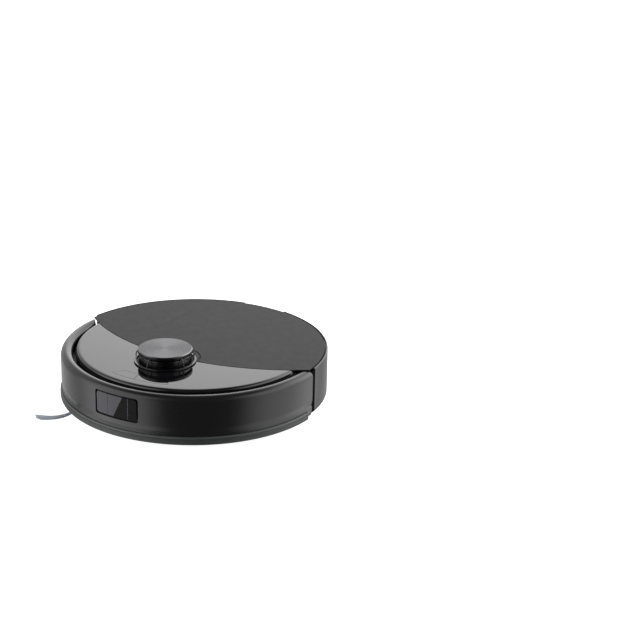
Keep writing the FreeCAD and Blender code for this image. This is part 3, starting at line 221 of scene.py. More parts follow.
# Every finish, by the short name that the pieces use
M = {
    "shell": plastic("shell_satin", srgb(17, 17, 18), 0.25, 0.02, 0.04, ior=1.45),
    "lid": plastic("lid_satin", srgb(36, 36, 38), 0.5, 0.02, 0.02, ior=1.2),
    "black": plastic("inner_black", srgb(9, 9, 10), 0.6, 0.08, ior=1.4),
    "base": plastic("base_matte", srgb(34, 34, 36), 0.55, 0.06, grain=1500, bump=0.25),
    "grey": plastic("grey_satin", srgb(92, 93, 96), 0.42),
    "white": plastic("white_satin", srgb(205, 204, 200), 0.45),
    "gloss": gloss_black(),
    "metal": turned_metal(),
    "edge": plastic("bright_edge", srgb(110, 110, 112), 0.25, 0.04, metallic=1.0),
    "glass": window_glass(),
    # Painted highlight: the strip's upper band is coloured lighter than the lower band, where it rounds over
    # and faces up.
    "strip_top": plastic("strip_upper_painted_highlight", srgb(62, 64, 64), 0.5, 0.05, grain=1800, bump=0.15),
    "drum": plastic("drum_black", srgb(9, 9, 10), 0.12, 0.03, grain=900, bump=0.01),
    "lens": plastic("lens_black", srgb(4, 4, 6), 0.03, 0.01, grain=600, bump=0.004),
    "glint": plastic("lens_bright", srgb(150, 152, 156), 0.12, 0.03, metallic=1.0),
    "post": plastic("post_satin", srgb(12, 12, 13), 0.32, 0.04),
    "strip": plastic("strip_rubber", srgb(44, 48, 46), 0.55, 0.05, grain=1800, bump=0.2, ior=1.45),
    "rubber": plastic("soft_rubber", srgb(26, 26, 27), 0.7, 0.05, grain=1600, bump=0.3, ior=1.4),
    "tyre": plastic("tyre_rubber", srgb(30, 30, 31), 0.75, 0.06, grain=1400, bump=0.4, ior=1.4),
    "bristle": plastic("bristle_nylon", srgb(196, 205, 214), 0.4, 0.05, ior=1.45),
    "blade": plastic("blade_rubber", srgb(52, 66, 78), 0.5, 0.06),
    "steel": plastic("spring_steel", srgb(176, 176, 178), 0.25, 0.06, metallic=1.0),
    "contact": plastic("contact_nickel", srgb(205, 200, 188), 0.18, 0.05, metallic=1.0),
    "board": plastic("board_green", srgb(28, 78, 48), 0.4, 0.05),
    "paper": plastic("filter_paper", srgb(226, 225, 216), 0.85, 0.05, grain=900, bump=0.5),
    "smoked": plastic("smoked_plastic", srgb(58, 58, 62), 0.18, 0.04),
    "wrap": plastic("battery_wrap", srgb(34, 60, 110), 0.35, 0.05),
}


# ---------------------------------------------------------------- mesh helpers


def finish_mesh(name, mesh, material, body, *replaced, smooth_below=40.0):
    """Put a mesh in the scene as a piece that rides on a body; edges sharper than smooth_below stay crisp."""
    obj = bpy.data.objects.new(name, mesh)
    bpy.context.scene.collection.objects.link(obj)
    mesh.materials.clear()
    mesh.materials.append(M[material])
    mesh.shade_smooth()
    mesh.set_sharp_from_angle(angle=math.radians(smooth_below))
    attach(obj, body)
    if replaced:
        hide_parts(*replaced)
    return obj


def from_bmesh(name, bm):
    bmesh.ops.recalc_face_normals(bm, faces=bm.faces)
    mesh = bpy.data.meshes.new(name)
    bm.to_mesh(mesh)
    bm.free()
    return mesh


def apply_boolean(mesh, cutters):
    """The mesh with closed cutter meshes taken out of it."""
    target = bpy.data.objects.new("cut_target", mesh)
    bpy.context.scene.collection.objects.link(target)
    tools = []
    for cutter in cutters:
        tool = bpy.data.objects.new("cut_tool", cutter)
        bpy.context.scene.collection.objects.link(tool)
        modifier = target.modifiers.new("cut", "BOOLEAN")
        modifier.operation, modifier.solver, modifier.object = "DIFFERENCE", "EXACT", tool
        tools.append(tool)
    bpy.context.view_layer.update()
    evaluated = target.evaluated_get(bpy.context.evaluated_depsgraph_get())
    result = bpy.data.meshes.new_from_object(evaluated)
    for obj in [target] + tools:
        bpy.data.objects.remove(obj)
    return result


def rounded(points, size, steps=4):
    """Round every corner of a closed (a, b) outline by about the same size."""
    out, count = [], len(points)
    for i in range(count):
        here = Vector(points[i])
        before = (Vector(points[i - 1]) - here)
        after = (Vector(points[(i + 1) % count]) - here)
        reach = min(size, before.length * 0.45, after.length * 0.45)
        start, end = here + before.normalized() * reach, here + after.normalized() * reach
        for k in range(steps + 1):
            t = k / steps
            out.append(tuple(start * (1 - t) ** 2 + here * 2 * t * (1 - t) + end * t ** 2))
    return out


def lathe(name, profile, centre=(0, 0), start=-math.pi, end=math.pi, segments=256, ends=None):
    """Turn a closed (radius, height) outline about a vertical axis.
    Angles run from the front (-Y) towards +X.  ends(radius, height) gives the half sweep of an open piece."""
    full = ends is None and abs(end - start - TURN) < 1e-6
    columns = segments if full else segments + 1
    bm = bmesh.new()
    rings = []
    for c in range(columns):
        t = c / segments
        ring = []
        for r, z in profile:
            angle = start + (end - start) * t if ends is None else (2 * t - 1) * ends(r, z)
            ring.append(bm.verts.new((centre[0] + r * math.sin(angle), centre[1] - r * math.cos(angle), z)))
        rings.append(ring)
    count = len(profile)
    for c in range(segments):
        a, b = rings[c], rings[(c + 1) % columns]
        for k in range(count):
            quad = [a[k], a[(k + 1) % count], b[(k + 1) % count], b[k]]
            bm.faces.new(quad)
    if not full:
        bm.faces.new(rings[0])
        bm.faces.new(list(reversed(rings[-1])))
    bmesh.ops.remove_doubles(bm, verts=bm.verts, dist=1e-7)
    return from_bmesh(name, bm)


def section(inner, low, outer, high):
    """A rectangular (radius, height) outline for lathe."""
    return [(inner, low), (outer, low), (outer, high), (inner, high)]


def arc(cx, cy, r, a0, a1, count):
    """Points on an arc; angles from +X, anticlockwise."""
    return [(cx + r * math.cos(a0 + (a1 - a0) * k / count), cy + r * math.sin(a0 + (a1 - a0) * k / count))
            for k in range(count + 1)]


def block(name, low, high, edge=0.4 * MM, segments=2):
    """A box with rounded edges, between two corners."""
    bm = bmesh.new()
    bmesh.ops.create_cube(bm, size=1.0)
    low, high = Vector(low), Vector(high)
    size = high - low
    for v in bm.verts:
        v.co = low + Vector(((v.co.x + 0.5) * size.x, (v.co.y + 0.5) * size.y, (v.co.z + 0.5) * size.z))
    if edge:
        bmesh.ops.bevel(bm, geom=bm.edges[:], offset=edge, segments=segments, affect="EDGES", profile=0.5)
    return from_bmesh(name, bm)


def prism(name, outline, axis, low, high):
    """A closed outline swept straight along an axis: outline coordinates are the other two, in order."""
    order = {"X": (1, 2, 0), "Y": (0, 2, 1), "Z": (0, 1, 2)}[axis]
    bm = bmesh.new()
    layers = []
    for level in (low, high):
        layer = []
        for a, b in outline:
            co = [0.0, 0.0, 0.0]
            co[order[0]], co[order[1]], co[order[2]] = a, b, level
            layer.append(bm.verts.new(co))
        layers.append(layer)
    count = len(outline)
    for k in range(count):
        bm.faces.new([layers[0][k], layers[0][(k + 1) % count], layers[1][(k + 1) % count], layers[1][k]])
    bm.faces.new(layers[0])
    bm.faces.new(list(reversed(layers[1])))
    return from_bmesh(name, bm)


def joined(name, meshes):
    """One mesh made of several."""
    bm = bmesh.new()
    for mesh in meshes:
        bm.from_mesh(mesh)
    return from_bmesh(name, bm)


def rod(name, start, end, radius, sides=20):
    """A round bar between two points."""
    start, end = Vector(start), Vector(end)
    bm = bmesh.new()
    bmesh.ops.create_cone(bm, cap_ends=True, segments=sides, radius1=radius, radius2=radius,
                          depth=(end - start).length)
    turn = (end - start).to_track_quat("Z", "Y").to_matrix().to_4x4()
    bm.transform(Matrix.Translation((start + end) / 2) @ turn)
    return from_bmesh(name, bm)


# ---------------------------------------------------------------- outlines of the lid and deck


def circles_meet(c0, r0, c1, r1):
    """The two points where circles on the Y axis meet, the +X one first."""
    gap = c1 - c0
    along = (r0 ** 2 - r1 ** 2 + gap ** 2) / (2 * gap)
    half = math.sqrt(r0 ** 2 - along ** 2)
    return (half, c0 + along), (-half, c0 + along)


def seam_span(x_from, x_to, radius, count=40):
    """Points along the lid's front seam between two x values."""
    points = []
    for k in range(count + 1):
        x = x_from + (x_to - x_from) * k / count
        points.append((x, SEAM_CENTRE - math.sqrt(radius ** 2 - x ** 2)))
    return points


RIM_STEPS = 240


def lid_outline(outer, seam, cutout):
    """The lid's plan outline, for a given outer radius, seam radius and cut-out radius."""
    right, left = circles_meet(0, outer, SEAM_CENTRE, seam)
    start, end = math.atan2(right[1], right[0]), math.atan2(left[1], left[0])
    notch_right, notch_left = circles_meet(CUTOUT_Y, cutout, SEAM_CENTRE, seam)
    rim = arc(0, 0, outer, start, end, RIM_STEPS)
    left_seam = seam_span(left[0], notch_left[0], seam)[1:]
    a0 = math.atan2(notch_left[1] - CUTOUT_Y, notch_left[0])
    a1 = math.atan2(notch_right[1] - CUTOUT_Y, notch_right[0])
    if a0 < 0:
        a0 += TURN
    notch = arc(0, CUTOUT_Y, cutout, a0, a1, 90)[1:]
    right_seam = seam_span(notch_right[0], right[0], seam)[1:-1]
    return rim + left_seam + notch + right_seam


KEY_BACK, KEY_FRONT = 124 * MM, 140.4 * MM
KEY_MIDDLE, KEY_BACK_HALF, KEY_FRONT_HALF = 3.3, 13.6, 17.2
DIVIDER = ((3.2 * MM, -KEY_FRONT), (-0.3 * MM, -KEY_BACK))


def key_outline(margin=0.0, corner=2.2 * MM):
    """The two-key panel: a band of a ring with slanted ends."""
    back, front = KEY_BACK + margin, KEY_FRONT - margin
    pull = math.degrees(margin / KEY_BACK)

    def at(radius, angle):
        turn = math.radians(angle)
        return radius * math.sin(turn), -radius * math.cos(turn)

    def sweep(radius, half, count=18):
        return [at(radius, KEY_MIDDLE - half + 2 * half * k / count) for k in range(count + 1)]

    points = sweep(back, KEY_BACK_HALF - pull) + list(reversed(sweep(front, KEY_FRONT_HALF - pull)))
    return rounded(points, corner, 3)


def clip(points, a, b, gap):
    """The part of an outline to the right of the line a-b, held back by a gap."""
    direction = (Vector(b) - Vector(a)).normalized()
    normal = Vector((direction.y, -direction.x))

    def side(p):
        return (Vector(p) - Vector(a)).dot(normal) - gap

    out = []
    for i, p in enumerate(points):
        q = points[(i + 1) % len(points)]
        if side(p) >= 0:
            out.append(p)
        if (side(p) >= 0) != (side(q) >= 0):
            t = side(p) / (side(p) - side(q))
            out.append(tuple(Vector(p) + (Vector(q) - Vector(p)) * t))
    return out


# ---------------------------------------------------------------- outer shells


def end_angle(offset=0.0):
    """Half sweep of a ring piece that stops at the slanted side seam, moved back by an offset."""
    def reach(r, z):
        low, high = math.radians(60), math.radians(130)
        for _ in range(50):
            mid = (low + high) / 2
            x, y = r * math.sin(mid), -r * math.cos(mid)
            if y < END_Y + offset + (x - END_X) * END_SLOPE:
                low = mid
            else:
                high = mid
        return (low + high) / 2
    return reach


WINDOW_HALF, WINDOW_LOW, WINDOW_HIGH = 32.6 * MM, 37.6 * MM, 70 * MM


def window_outline(margin, corner=4 * MM):
    """The window's outline seen from the front, as (x, z), drawn in by a margin."""
    half = WINDOW_HALF - margin
    return rounded([(-half, WINDOW_LOW + margin), (half, WINDOW_LOW + margin),
                    (half, WINDOW_HIGH - margin), (-half, WINDOW_HIGH - margin)], corner, 8)


def make_bumper():
    """The bumper: a creased wall that rolls over into an inner lip, with the window's opening."""
    inner = BODY - 2.6 * MM
    top = BUMPER_TOP
    outside = [(BODY - 0.9 * MM, BUMPER_LOW), (BODY - 0.3 * MM, 25.3 * MM), (BODY - 0.35 * MM, 28.6 * MM),
               (BODY - 1.3 * MM, 29.8 * MM), (BODY - 0.8 * MM, 32.2 * MM), (BODY, 37.0 * MM)]
    over = [(0, -7.5), (-0.4, -5.2), (-1.7, -3.2), (-3.1, -1.8), (-4.8, -0.8), (-6.4, -0.2), (-8, 0)]
    within = [(5.7, -0.2), (4, -0.8), (2.5, -1.7), (1.3, -2.8), (0, -4.8), (0, -5.6), (2, -5.6), (3.5, -3.8),
              (5.5, -2.6), (7.5, -2.2)]
    profile = outside + [(BODY + r * MM, top + z * MM) for r, z in over]
    profile += [(LIP + r * MM, top + z * MM) for r, z in within]
    profile += [(inner - 3.2 * MM, top - 2.8 * MM), (inner - 1.2 * MM, top - 4.4 * MM), (inner, top - 7 * MM),
                (inner, BUMPER_LOW)]
    shell = lathe("bumper", rounded(profile, 0.7 * MM, 2), segments=300, ends=end_angle())
    opening = prism("window_cut", window_outline(0), "Y", -190 * MM, -150 * MM)
    return finish_mesh("bumper", apply_boolean(shell, [opening]), "shell", "bumper", "bumper_shell")


def make_strip():
    """The soft strip round the foot of the bumper, in two bands; the upper band is coloured lighter as
    painted highlight.
    """
    inner = BODY - 2.6 * MM
    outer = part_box("bumper_strip")[1].x
    low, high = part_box("bumper_strip")[0].z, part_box("bumper_strip")[1].z
    sweep = math.radians(89.1)
    lower = rounded([(inner, low), (outer - 0.8 * MM, low), (outer, low + 1.6 * MM), (outer, high - 3.4 * MM),
                     (outer - 0.5 * MM, high - 3.0 * MM), (inner, high - 3.0 * MM)], 0.8 * MM, 4)
    upper = rounded([(inner, high - 3.0 * MM), (outer - 0.35 * MM, high - 2.9 * MM),
                     (outer - 0.25 * MM, high - 1.1 * MM), (outer - 1.0 * MM, high), (BODY - 1.2 * MM, high)],
                    0.5 * MM, 4)
    # The upper band's lighter colour is painted highlight.
    bands = (("bumper_strip_soft", lower, "strip"), ("bumper_strip_top", upper, "strip_top"))
    for name, profile, material in bands:
        mesh = lathe(name, profile, start=-sweep, end=sweep, segments=260)
        finish_mesh(name, mesh, material, "bumper", "bumper_strip")


def make_window():
    """The sensor window's pane, and the dark backing that shows in the gap round it."""
    pane_section = section(BODY - 2 * MM, 34 * MM, BODY - 0.4 * MM, 73 * MM)
    pane = lathe("window", pane_section, start=-0.24, end=0.24, segments=64)
    keep = prism("keep", window_outline(2.3 * MM), "Y", -190 * MM, -150 * MM)
    around = prism("around", [(-0.1, 0.0), (0.1, 0.0), (0.1, 0.1), (-0.1, 0.1)], "Y", -195 * MM, -145 * MM)
    frame_cut = apply_boolean(around, [keep])
    finish_mesh("window_pane", apply_boolean(pane, [frame_cut]), "glass", "bumper", "sensor_window")
    backing_section = section(BODY - 3.6 * MM, 36 * MM, BODY - 2.7 * MM, 71.5 * MM)
    backing = lathe("backing", backing_section, start=-0.2, end=0.2, segments=64)
    finish_mesh("window_backing", backing, "black", "bumper", "sensor_window")


def make_rear_shell():
    """The rear wall, with a finger notch, an exhaust opening and two openings for charging contacts."""
    rim, inner = 173 * MM, 171.6 * MM
    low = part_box("rear_side_shell")[0].z
    profile = rounded([
        (164 * MM, low), (166 * MM, low), (BODY, 19.5 * MM), (BODY, SHELL_TOP - 0.8 * MM),
        (BODY - 0.8 * MM, SHELL_TOP), (rim, SHELL_TOP), (rim, 76.2 * MM), (inner, 76.2 * MM),
        (inner, 20.8 * MM), (164 * MM, low + 2.5 * MM)], 0.7 * MM, 3)
    reach = end_angle(END_GAP)
    mesh = lathe("rear", profile, segments=300, ends=lambda r, z: math.pi - reach(r, z))
    mesh.transform(Matrix.Rotation(math.pi, 4, "Z"))
    notch = rounded([(-31 * MM, 67 * MM), (31 * MM, 67 * MM), (33 * MM, 90 * MM), (-33 * MM, 90 * MM)],
                    4 * MM, 6)
    cutters = [prism("notch", notch, "Y", 166.5 * MM, 180 * MM)]
    grille_low, grille_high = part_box("exhaust_grille")
    cutters.append(block("exhaust", (grille_low.x, 120 * MM, grille_low.z),
                         (grille_high.x, 180 * MM, grille_high.z), 0))
    for side in (-1, 1):
        near, far = sorted((side * 34 * MM, side * 46 * MM))
        cutters.append(block("contact", (near, 150 * MM, 24 * MM), (far, 180 * MM, 36 * MM), 0))
    pocket = [
        block("notch_back", (-33.5 * MM, 164 * MM, 64 * MM), (33.5 * MM, 166.5 * MM, 76.1 * MM), 0),
        block("notch_floor", (-33.5 * MM, 166.4 * MM, 64 * MM), (33.5 * MM, 171.2 * MM, 67 * MM), 0),
    ]
    mesh = joined("rear_with_pocket", [apply_boolean(mesh, cutters)] + pocket)
    return finish_mesh("rear_shell", mesh, "shell", "chassis", "rear_side_shell")


def make_lid():
    """The satin lid: a thin disc cut back along its front seam, and hollowed under its corners."""
    rim = LID - 1.1 * MM
    edge = [(rim, LID_LOW), (rim, LID_TOP - 0.7 * MM), (rim - 0.2 * MM, LID_TOP - 0.25 * MM),
            (rim - 0.6 * MM, LID_TOP)]
    disc = lathe("lid", [(0, LID_LOW)] + edge + [(0, LID_TOP)], segments=320)
    around = lid_outline(FAR, SEAM_RADIUS, CUTOUT)
    front = around[RIM_STEPS:] + around[:1]
    ahead = prism("ahead", front + [(0.3, -0.3), (-0.3, -0.3)], "Z", 0, 0.2)
    corners = [block("corner", (near * MM, -20 * MM, 0), (far * MM, 16 * MM, BUMPER_TOP + 0.25 * MM), 0)
               for near, far in ((154, 190), (-190, -154))]
    mesh = apply_boolean(disc, [ahead] + corners)
    return finish_mesh("rear_lid", mesh, "lid", "lid", "top_lid", smooth_below=25)


def turret_hole():
    """Cutter for the round hole that the turret's ring sits in."""
    return prism("hole", arc(TURRET.x, TURRET.y, COLLAR + 0.1 * MM, 0, TURN, 120)[:-1], "Z", 0, 0.2)


def make_deck():
    """The glossy front deck: a thin panel with a rolled edge, up to the lid's front seam."""
    edge = [(154.5, 74.2), (154.5, 75.7), (154.1, 77.1), (153.3, 78.1), (152.2, 78.8), (151, 79.15),
            (149, 79.2)]
    rim_inside = 152.5 * MM
    under = [(0, DECK_PANEL_LOW), (rim_inside, DECK_PANEL_LOW), (rim_inside, RING_LOW)]
    profile = under + [(r * MM, z * MM) for r, z in edge] + [(0, DECK_TOP)]
    disc = lathe("deck", profile, segments=300)
    seam = SEAM_RADIUS + LID_GAP
    behind = prism("behind", seam_span(-0.175, 0.175, seam) + [(0.3, 0.3), (-0.3, 0.3)], "Z", 0, 0.2)
    keys = prism("keys", key_outline(), "Z", 0, 0.2)
    deck = apply_boolean(disc, [behind, turret_hole(), keys])
    finish_mesh("gloss_deck", deck, "gloss", "chassis", "front_deck", smooth_below=25)


def make_deck_behind_turret():
    """The part of the deck inside the lid's cut-out, which has the lid's finish."""
    seam = SEAM_RADIUS + LID_GAP
    around = lid_outline(FAR, seam, CUTOUT - LID_GAP)
    notch = [point for point in around if point[1] > TURRET.y and abs(point[0]) < CUTOUT
             and Vector((point[0], point[1] - CUTOUT_Y)).length < CUTOUT]
    right, left = notch[-1], notch[0]
    front = seam_span(right[0], left[0], seam - 0.2 * MM, 12)[1:-1]
    crescent = prism("crescent", notch + front, "Z", DECK_PANEL_LOW, DECK_TOP)
    crescent = apply_boolean(crescent, [turret_hole()])
    finish_mesh("deck_behind_turret", crescent, "lid", "chassis", "front_deck", smooth_below=25)


def make_keys():
    """The two flush keys, split by a slanted divider."""
    outline = key_outline(0.5 * MM)
    a, b = DIVIDER
    for name, points, body, node in (
        ("home_key_cap", clip(outline, a, b, 0.25 * MM), "home_key", "home_button"),
        ("power_key_cap", clip(outline, b, a, 0.25 * MM), "power_key", "power_button"),
    ):
        mesh = prism(name, points, "Z", 76.4 * MM, DECK_TOP + 0.03 * MM)
        finish_mesh(name, mesh, "gloss", body, node, smooth_below=18)


# ---------------------------------------------------------------- turret


def around_turret(radius, angle, z):
    """A point near the turret; the angle runs from the front towards +X, in degrees."""
    turn = math.radians(angle)
    return Vector((TURRET.x + radius * math.sin(turn), TURRET.y - radius * math.cos(turn), z))


def bent_rod(name, points, radii, sides=12):
    """A round bar through a list of points, with its own radius at each."""
    bm = bmesh.new()
    rings = []
    for k, point in enumerate(points):
        before, after = points[max(k - 1, 0)], points[min(k + 1, len(points) - 1)]
        turn = (after - before).to_track_quat("Z", "Y").to_matrix()
        ring = []
        for c in range(sides):
            angle = TURN * c / sides
            offset = turn @ Vector((radii[k] * math.cos(angle), radii[k] * math.sin(angle), 0))
            ring.append(bm.verts.new(point + offset))
        rings.append(ring)
    for low_ring, high_ring in zip(rings, rings[1:]):
        for c in range(sides):
            bm.faces.new([low_ring[c], low_ring[(c + 1) % sides], high_ring[(c + 1) % sides], high_ring[c]])
    bm.faces.new(rings[0])
    bm.faces.new(list(reversed(rings[-1])))
    return from_bmesh(name, bm)


CENTRE = (TURRET.x, TURRET.y)


def make_cap():
    """The turret's cap: turned face, bright edge, gloss rim with guide pins, hoop and bowed posts."""
    top, low = CAP_HIGH.z, 91 * MM
    face = lathe("face", [(0, top - 1 * MM), (CAP - 1.2 * MM, top - 1 * MM), (CAP - 1.2 * MM, top), (0, top)],
                 CENTRE, segments=192)
    finish_mesh("cap_face", face, "metal", "range_finder_cap", smooth_below=30)
    chamfer = [(-2, -1), (-0.5, -1), (-0.45, -0.75), (-1.2, -0.02), (-1.4, -0.02)]
    edge = lathe("edge", [(CAP + r * MM, top + z * MM) for r, z in chamfer], CENTRE, segments=192)
    finish_mesh("cap_edge", edge, "edge", "range_finder_cap", smooth_below=30)
    rim = lathe("rim", rounded([
        (CAP - 6 * MM, low), (CAP - 0.6 * MM, low), (CAP, low + 0.8 * MM), (CAP, top - 1.2 * MM),
        (CAP - 0.4 * MM, top - 0.8 * MM), (CAP - 1.3 * MM, top - 0.9 * MM), (CAP - 1.3 * MM, top - 1.2 * MM),
        (CAP - 6 * MM, top - 1.2 * MM)], 0.3 * MM, 3), CENTRE, segments=192)
    under = lathe("under", [(0, top - 2.2 * MM), (CAP - 5.9 * MM, top - 2.2 * MM),
                            (CAP - 5.9 * MM, top - 1.0 * MM), (0, top - 1.0 * MM)], CENTRE, segments=96)
    hoop_section = rounded(section(37.2 * MM, 80.1 * MM, HOOP, 81.3 * MM), 0.5 * MM, 4)
    hoop = lathe("hoop", hoop_section, CENTRE, segments=192)
    pins = []
    for angle in (60, 180, 300):
        foot = around_turret(38.6 * MM, angle, CAP_LOW.z)
        pins.append(rod("pin", foot, foot + Vector((0, 0, 7.2 * MM)), 1.2 * MM))
    finish_mesh("cap_rim", joined("cap", [rim, under] + pins), "gloss", "range_finder_cap", "lidar_cap")
    finish_mesh("cap_hoop", hoop, "drum", "range_finder_cap", "lidar_cap")
    # radius from the turret's axis, height and half thickness along a post, from the hoop to the cap
    bow = ((38.6, 80.6, 1.0), (39.3, 83.0, 0.75), (38.6, 86.4, 0.75), (36.4, 89.4, 0.9), (34.2, 91.6, 1.4))
    posts = []
    for step in range(5):
        path = [around_turret(r * MM, 72 * step, z * MM) for r, z, _ in bow]
        posts.append(bent_rod("post", path, [w * MM for _, _, w in bow]))
    finish_mesh("cap_posts", joined("posts", posts), "post", "range_finder_cap", "lidar_cap")


def make_ring():
    """The fixed ring that the turret rises from."""
    ring_section = rounded(section(34 * MM, RING_LOW, COLLAR, DECK_TOP), 0.3 * MM, 3)
    ring = lathe("ring", ring_section, CENTRE, segments=192)
    finish_mesh("turret_ring", ring, "black", "chassis", "lidar_ring")


def make_drum():
    """The spinning drum, with a belt groove near its foot and two lenses at its side."""
    axle, belt, groove, foot = 8.2 * MM, 28.2 * MM, 27 * MM, 65 * MM
    drum = lathe("drum", rounded([
        (axle, foot), (belt, foot), (belt, 65.7 * MM), (groove, 65.7 * MM), (groove, 70.3 * MM),
        (belt, 70.3 * MM), (belt, 72 * MM), (DRUM, 72 * MM), (DRUM, 88.9 * MM),
        (DRUM - 1 * MM, 89.9 * MM), (axle, 89.9 * MM)], 0.3 * MM, 2), CENTRE, segments=192)
    finish_mesh("turret_drum", drum, "drum", "range_finder_rotor", "lidar_rotor")
    lenses = (("emitter_lens", 24.4, 83.4, 1.4, "glint"), ("receiver_lens", 38, 85.6, 4.2, "lens"))
    for name, angle, level, radius, material in lenses:
        face_point = around_turret(DRUM - 0.6 * MM, angle, level * MM)
        outward = (face_point - Vector((TURRET.x, TURRET.y, face_point.z))).normalized()
        lens = rod(name, face_point, face_point + outward * 1.0 * MM, radius * MM, 40)
        finish_mesh(name, lens, material, "range_finder_rotor", "lidar_lenses")


BRUSH_REST = -119.4  # bearing of the first tuft at rest, in degrees
STRANDS = 42


def make_side_brush():
    """Three tufts of fine bristles that bow sideways and fan out at the tip."""
    hub = (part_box("side_brush_hub")[0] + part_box("side_brush_hub")[1]) / 2
    chance = random.Random(7)
    strands = []
    for arm in range(3):
        for _ in range(STRANDS):
            spread = chance.uniform(-1, 1)
            lift = chance.uniform(-0.7, 0.7)
            path, radii = [], []
            for k in range(8):
                t = k / 7
                reach = 9 + 60.3 * t * (1 - 0.03 * abs(spread))
                bend = 20.5 * math.sin(math.pi * min(1.0, 0.18 + 0.82 * t)) ** 1.2
                fan = spread * (1.8 + 7.6 * t ** 2)
                angle = math.radians(BRUSH_REST + 120 * arm + bend) + fan / max(reach, 12)
                height = 4.6 - 1.5 * t + lift * (0.6 + 0.5 * t)
                along = Vector((math.cos(angle), math.sin(angle), 0)) * reach * MM
                path.append(Vector((hub.x + along.x, hub.y + along.y, max(height, 2.0) * MM)))
                radii.append((0.5 - 0.08 * t) * MM)
            strands.append(bent_rod("strand", path, radii, 5))
    finish_mesh("bristle_tufts", joined("tufts", strands), "bristle", "side_brush", "side_brush_arms")


# ---------------------------------------------------------------- CAD parts kept, with their finishes

KEPT = {
    "bottom_shell": "base", "battery_cover": "base", "front_frame": "black", "upper_tray": "black",
    "charging_contacts": "contact", "lid_hinge_pins": "steel", "base_screws": "steel",
    "cliff_sensor_windows": "gloss", "obstacle_sensor": "black", "bumper_springs": "steel",
    "lidar_base": "black", "lidar_belt": "rubber",
    "lidar_motor": "steel", "lidar_motor_pulley": "white", "button_board": "board",
    "wheel_housing_left": "black", "wheel_housing_right": "black", "wheel_arm_left": "base",
    "wheel_arm_right": "base", "wheel_hub_left": "grey", "wheel_hub_right": "grey",
    "wheel_tyre_left": "tyre", "wheel_tyre_right": "tyre", "suspension_springs": "steel",
    "caster_socket": "black", "caster_fork": "grey", "caster_wheel": "tyre", "brush_housing": "black",
    "brush_core": "grey", "brush_blades": "blade", "brush_end_bearings": "steel", "brush_guard": "grey",
    "brush_motor": "black", "dust_duct": "rubber", "side_brush_hub": "grey",
    "side_brush_gearbox": "black", "bin_tub": "smoked", "bin_lid": "base", "filter_frame": "grey",
    "filter_media": "paper", "fan_housing": "black", "fan_motor": "steel", "fan_impeller": "white",
    "exhaust_grille": "black", "battery_pack": "wrap", "main_board": "board", "speaker": "black",
}


def dress_kept_parts():
    for name, material in KEPT.items():
        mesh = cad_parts[name].data
        mesh.materials.clear()
        mesh.materials.append(M[material])


# ---------------------------------------------------------------- stage, light and camera


def make_stage():
    """A bright floor that shows only from above, so the underside can be seen from below."""
    bm = bmesh.new()
    bmesh.ops.create_grid(bm, x_segments=1, y_segments=1, size=12)
    floor = bpy.data.objects.new("floor", from_bmesh("floor", bm))
    bpy.context.scene.collection.objects.link(floor)
    n = Nodes("pale_floor")
    n.shader.inputs["Base Color"].default_value = (0.86, 0.86, 0.86, 1)
    n.shader.inputs["Roughness"].default_value = 0.9
    n.shader.inputs["Specular IOR Level"].default_value = 0.0
    n.shader.inputs["Emission Color"].default_value = (1, 1, 1, 1)
    n.shader.inputs["Emission Strength"].default_value = 0.9
    clear = n.add("ShaderNodeBsdfTransparent")
    sides = n.add("ShaderNodeMixShader")
    n.join(n.add("ShaderNodeNewGeometry").outputs["Backfacing"], sides.inputs["Fac"])
    n.join(n.shader.outputs["BSDF"], sides.inputs[1])
    n.join(clear.outputs["BSDF"], sides.inputs[2])
    n.join(sides.outputs["Shader"], n.tree.nodes["Material Output"].inputs["Surface"])
    floor.data.materials.append(n.material)
    floor.visible_glossy = False
    floor.visible_diffuse = False


def heading(azimuth, elevation):
    """A direction: azimuth from the front (-Y) towards +X, elevation above the horizon."""
    a, e = math.radians(azimuth), math.radians(elevation)
    return math.sin(a) * math.cos(e), -math.cos(a) * math.cos(e), math.sin(e)


PANELS = (
    # azimuth, half width and soft edge in degrees, brightness above and below the horizon
    (-36, 28, 34, 2.0, 1.9),
    (-95, 42, 40, 0.75, 0.6),
    (120, 32, 44, 2.5, 1.6),
    (180, 40, 36, 2.3, 0.45),
)
AMBIENT = 0.14
OVERHEAD = 0.12


def panels_glow(tree, level, strengths):
    """Brightness in a level direction, from the soft panels that stand round the object."""
    total = AMBIENT
    for (azimuth, half, soft, _, _), strength in zip(PANELS, strengths):
        facing = tree.nodes.new("ShaderNodeVectorMath")
        facing.operation = "DOT_PRODUCT"
        tree.links.new(level, facing.inputs[0])
        facing.inputs[1].default_value = heading(azimuth, 0)
        edge = tree.nodes.new("ShaderNodeMapRange")
        edge.interpolation_type = "SMOOTHSTEP"
        edge.inputs["From Min"].default_value = math.cos(math.radians(half + soft / 2))
        edge.inputs["From Max"].default_value = math.cos(math.radians(half - soft / 2))
        tree.links.new(facing.outputs["Value"], edge.inputs["Value"])
        add = tree.nodes.new("ShaderNodeMath")
        add.operation = "MULTIPLY_ADD"
        tree.links.new(edge.outputs["Result"], add.inputs[0])
        add.inputs[1].default_value = strength
        if isinstance(total, float):
            add.inputs[2].default_value = total
        else:
            tree.links.new(total, add.inputs[2])
        total = add.outputs["Value"]
    return total


def by_height(tree, z, low, high, below, above):
    """Blend two brightnesses between two elevations, in degrees."""
    step = tree.nodes.new("ShaderNodeMapRange")
    step.interpolation_type = "SMOOTHSTEP"
    step.inputs["From Min"].default_value = math.sin(math.radians(low))
    step.inputs["From Max"].default_value = math.sin(math.radians(high))
    tree.links.new(z, step.inputs["Value"])
    mix = tree.nodes.new("ShaderNodeMix")
    tree.links.new(step.outputs["Result"], mix.inputs["Factor"])
    for name, value in (("A", below), ("B", above)):
        if isinstance(value, float):
            mix.inputs[name].default_value = value
        else:
            tree.links.new(value, mix.inputs[name])
    return mix.outputs["Result"]


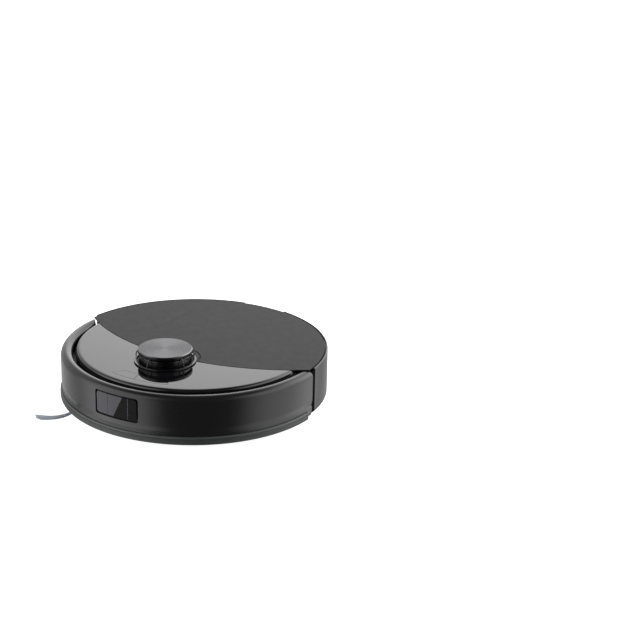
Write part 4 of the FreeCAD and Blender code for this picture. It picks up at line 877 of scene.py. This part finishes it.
def make_light():
    """Soft studio light: pale panels round the object, under a dim ceiling."""
    world = bpy.data.worlds.new("studio")
    bpy.context.scene.world = world
    world.use_nodes = True
    tree = world.node_tree
    link = tree.links.new
    background = tree.nodes["Background"]
    background.inputs["Color"].default_value = (1, 1, 1, 1)
    coords = tree.nodes.new("ShaderNodeTexCoord")
    split = tree.nodes.new("ShaderNodeSeparateXYZ")
    link(coords.outputs["Generated"], split.inputs["Vector"])
    level = coords.outputs["Generated"]
    for operation, vector in (("MULTIPLY", (1, 1, 0)), ("NORMALIZE", None)):
        step = tree.nodes.new("ShaderNodeVectorMath")
        step.operation = operation
        link(level, step.inputs[0])
        if vector:
            step.inputs[1].default_value = vector
        level = step.outputs["Vector"]
    height = split.outputs["Z"]
    above = panels_glow(tree, level, [panel[3] for panel in PANELS])
    below = panels_glow(tree, level, [panel[4] for panel in PANELS])
    walls = by_height(tree, height, -8, 6, below, above)
    total = by_height(tree, height, 40, 64, walls, OVERHEAD)
    link(total, background.inputs["Strength"])
    pale = tree.nodes.new("ShaderNodeBackground")
    pale.inputs["Color"].default_value = (1, 1, 1, 1)
    path = tree.nodes.new("ShaderNodeLightPath")
    mix = tree.nodes.new("ShaderNodeMixShader")
    link(path.outputs["Is Camera Ray"], mix.inputs["Fac"])
    link(background.outputs["Background"], mix.inputs[1])
    link(pale.outputs["Background"], mix.inputs[2])
    link(mix.outputs["Shader"], tree.nodes["World Output"].inputs["Surface"])


def make_camera():
    data = bpy.data.cameras.new("camera")
    data.lens = 95.66
    data.sensor_width = 36
    camera = bpy.data.objects.new("camera", data)
    camera.location = Vector((0, 0, 45 * MM)) + Vector(heading(34.41, 22.40)) * 2256.6 * MM
    aim = Vector((126.7, 108.1, 105.9)) * MM
    level = (aim - camera.location).to_track_quat("-Z", "Y")
    camera.rotation_euler = (level @ Quaternion((0, 0, 1), math.radians(1.375))).to_euler()
    bpy.context.scene.collection.objects.link(camera)
    bpy.context.scene.camera = camera


make_camera()
make_stage()
make_light()
bpy.context.scene.view_settings.view_transform = "Standard"
dress_kept_parts()
make_bumper()
make_strip()
make_window()
make_rear_shell()
make_lid()
make_deck()
make_deck_behind_turret()
make_keys()
make_cap()
make_ring()
make_drum()
make_side_brush()
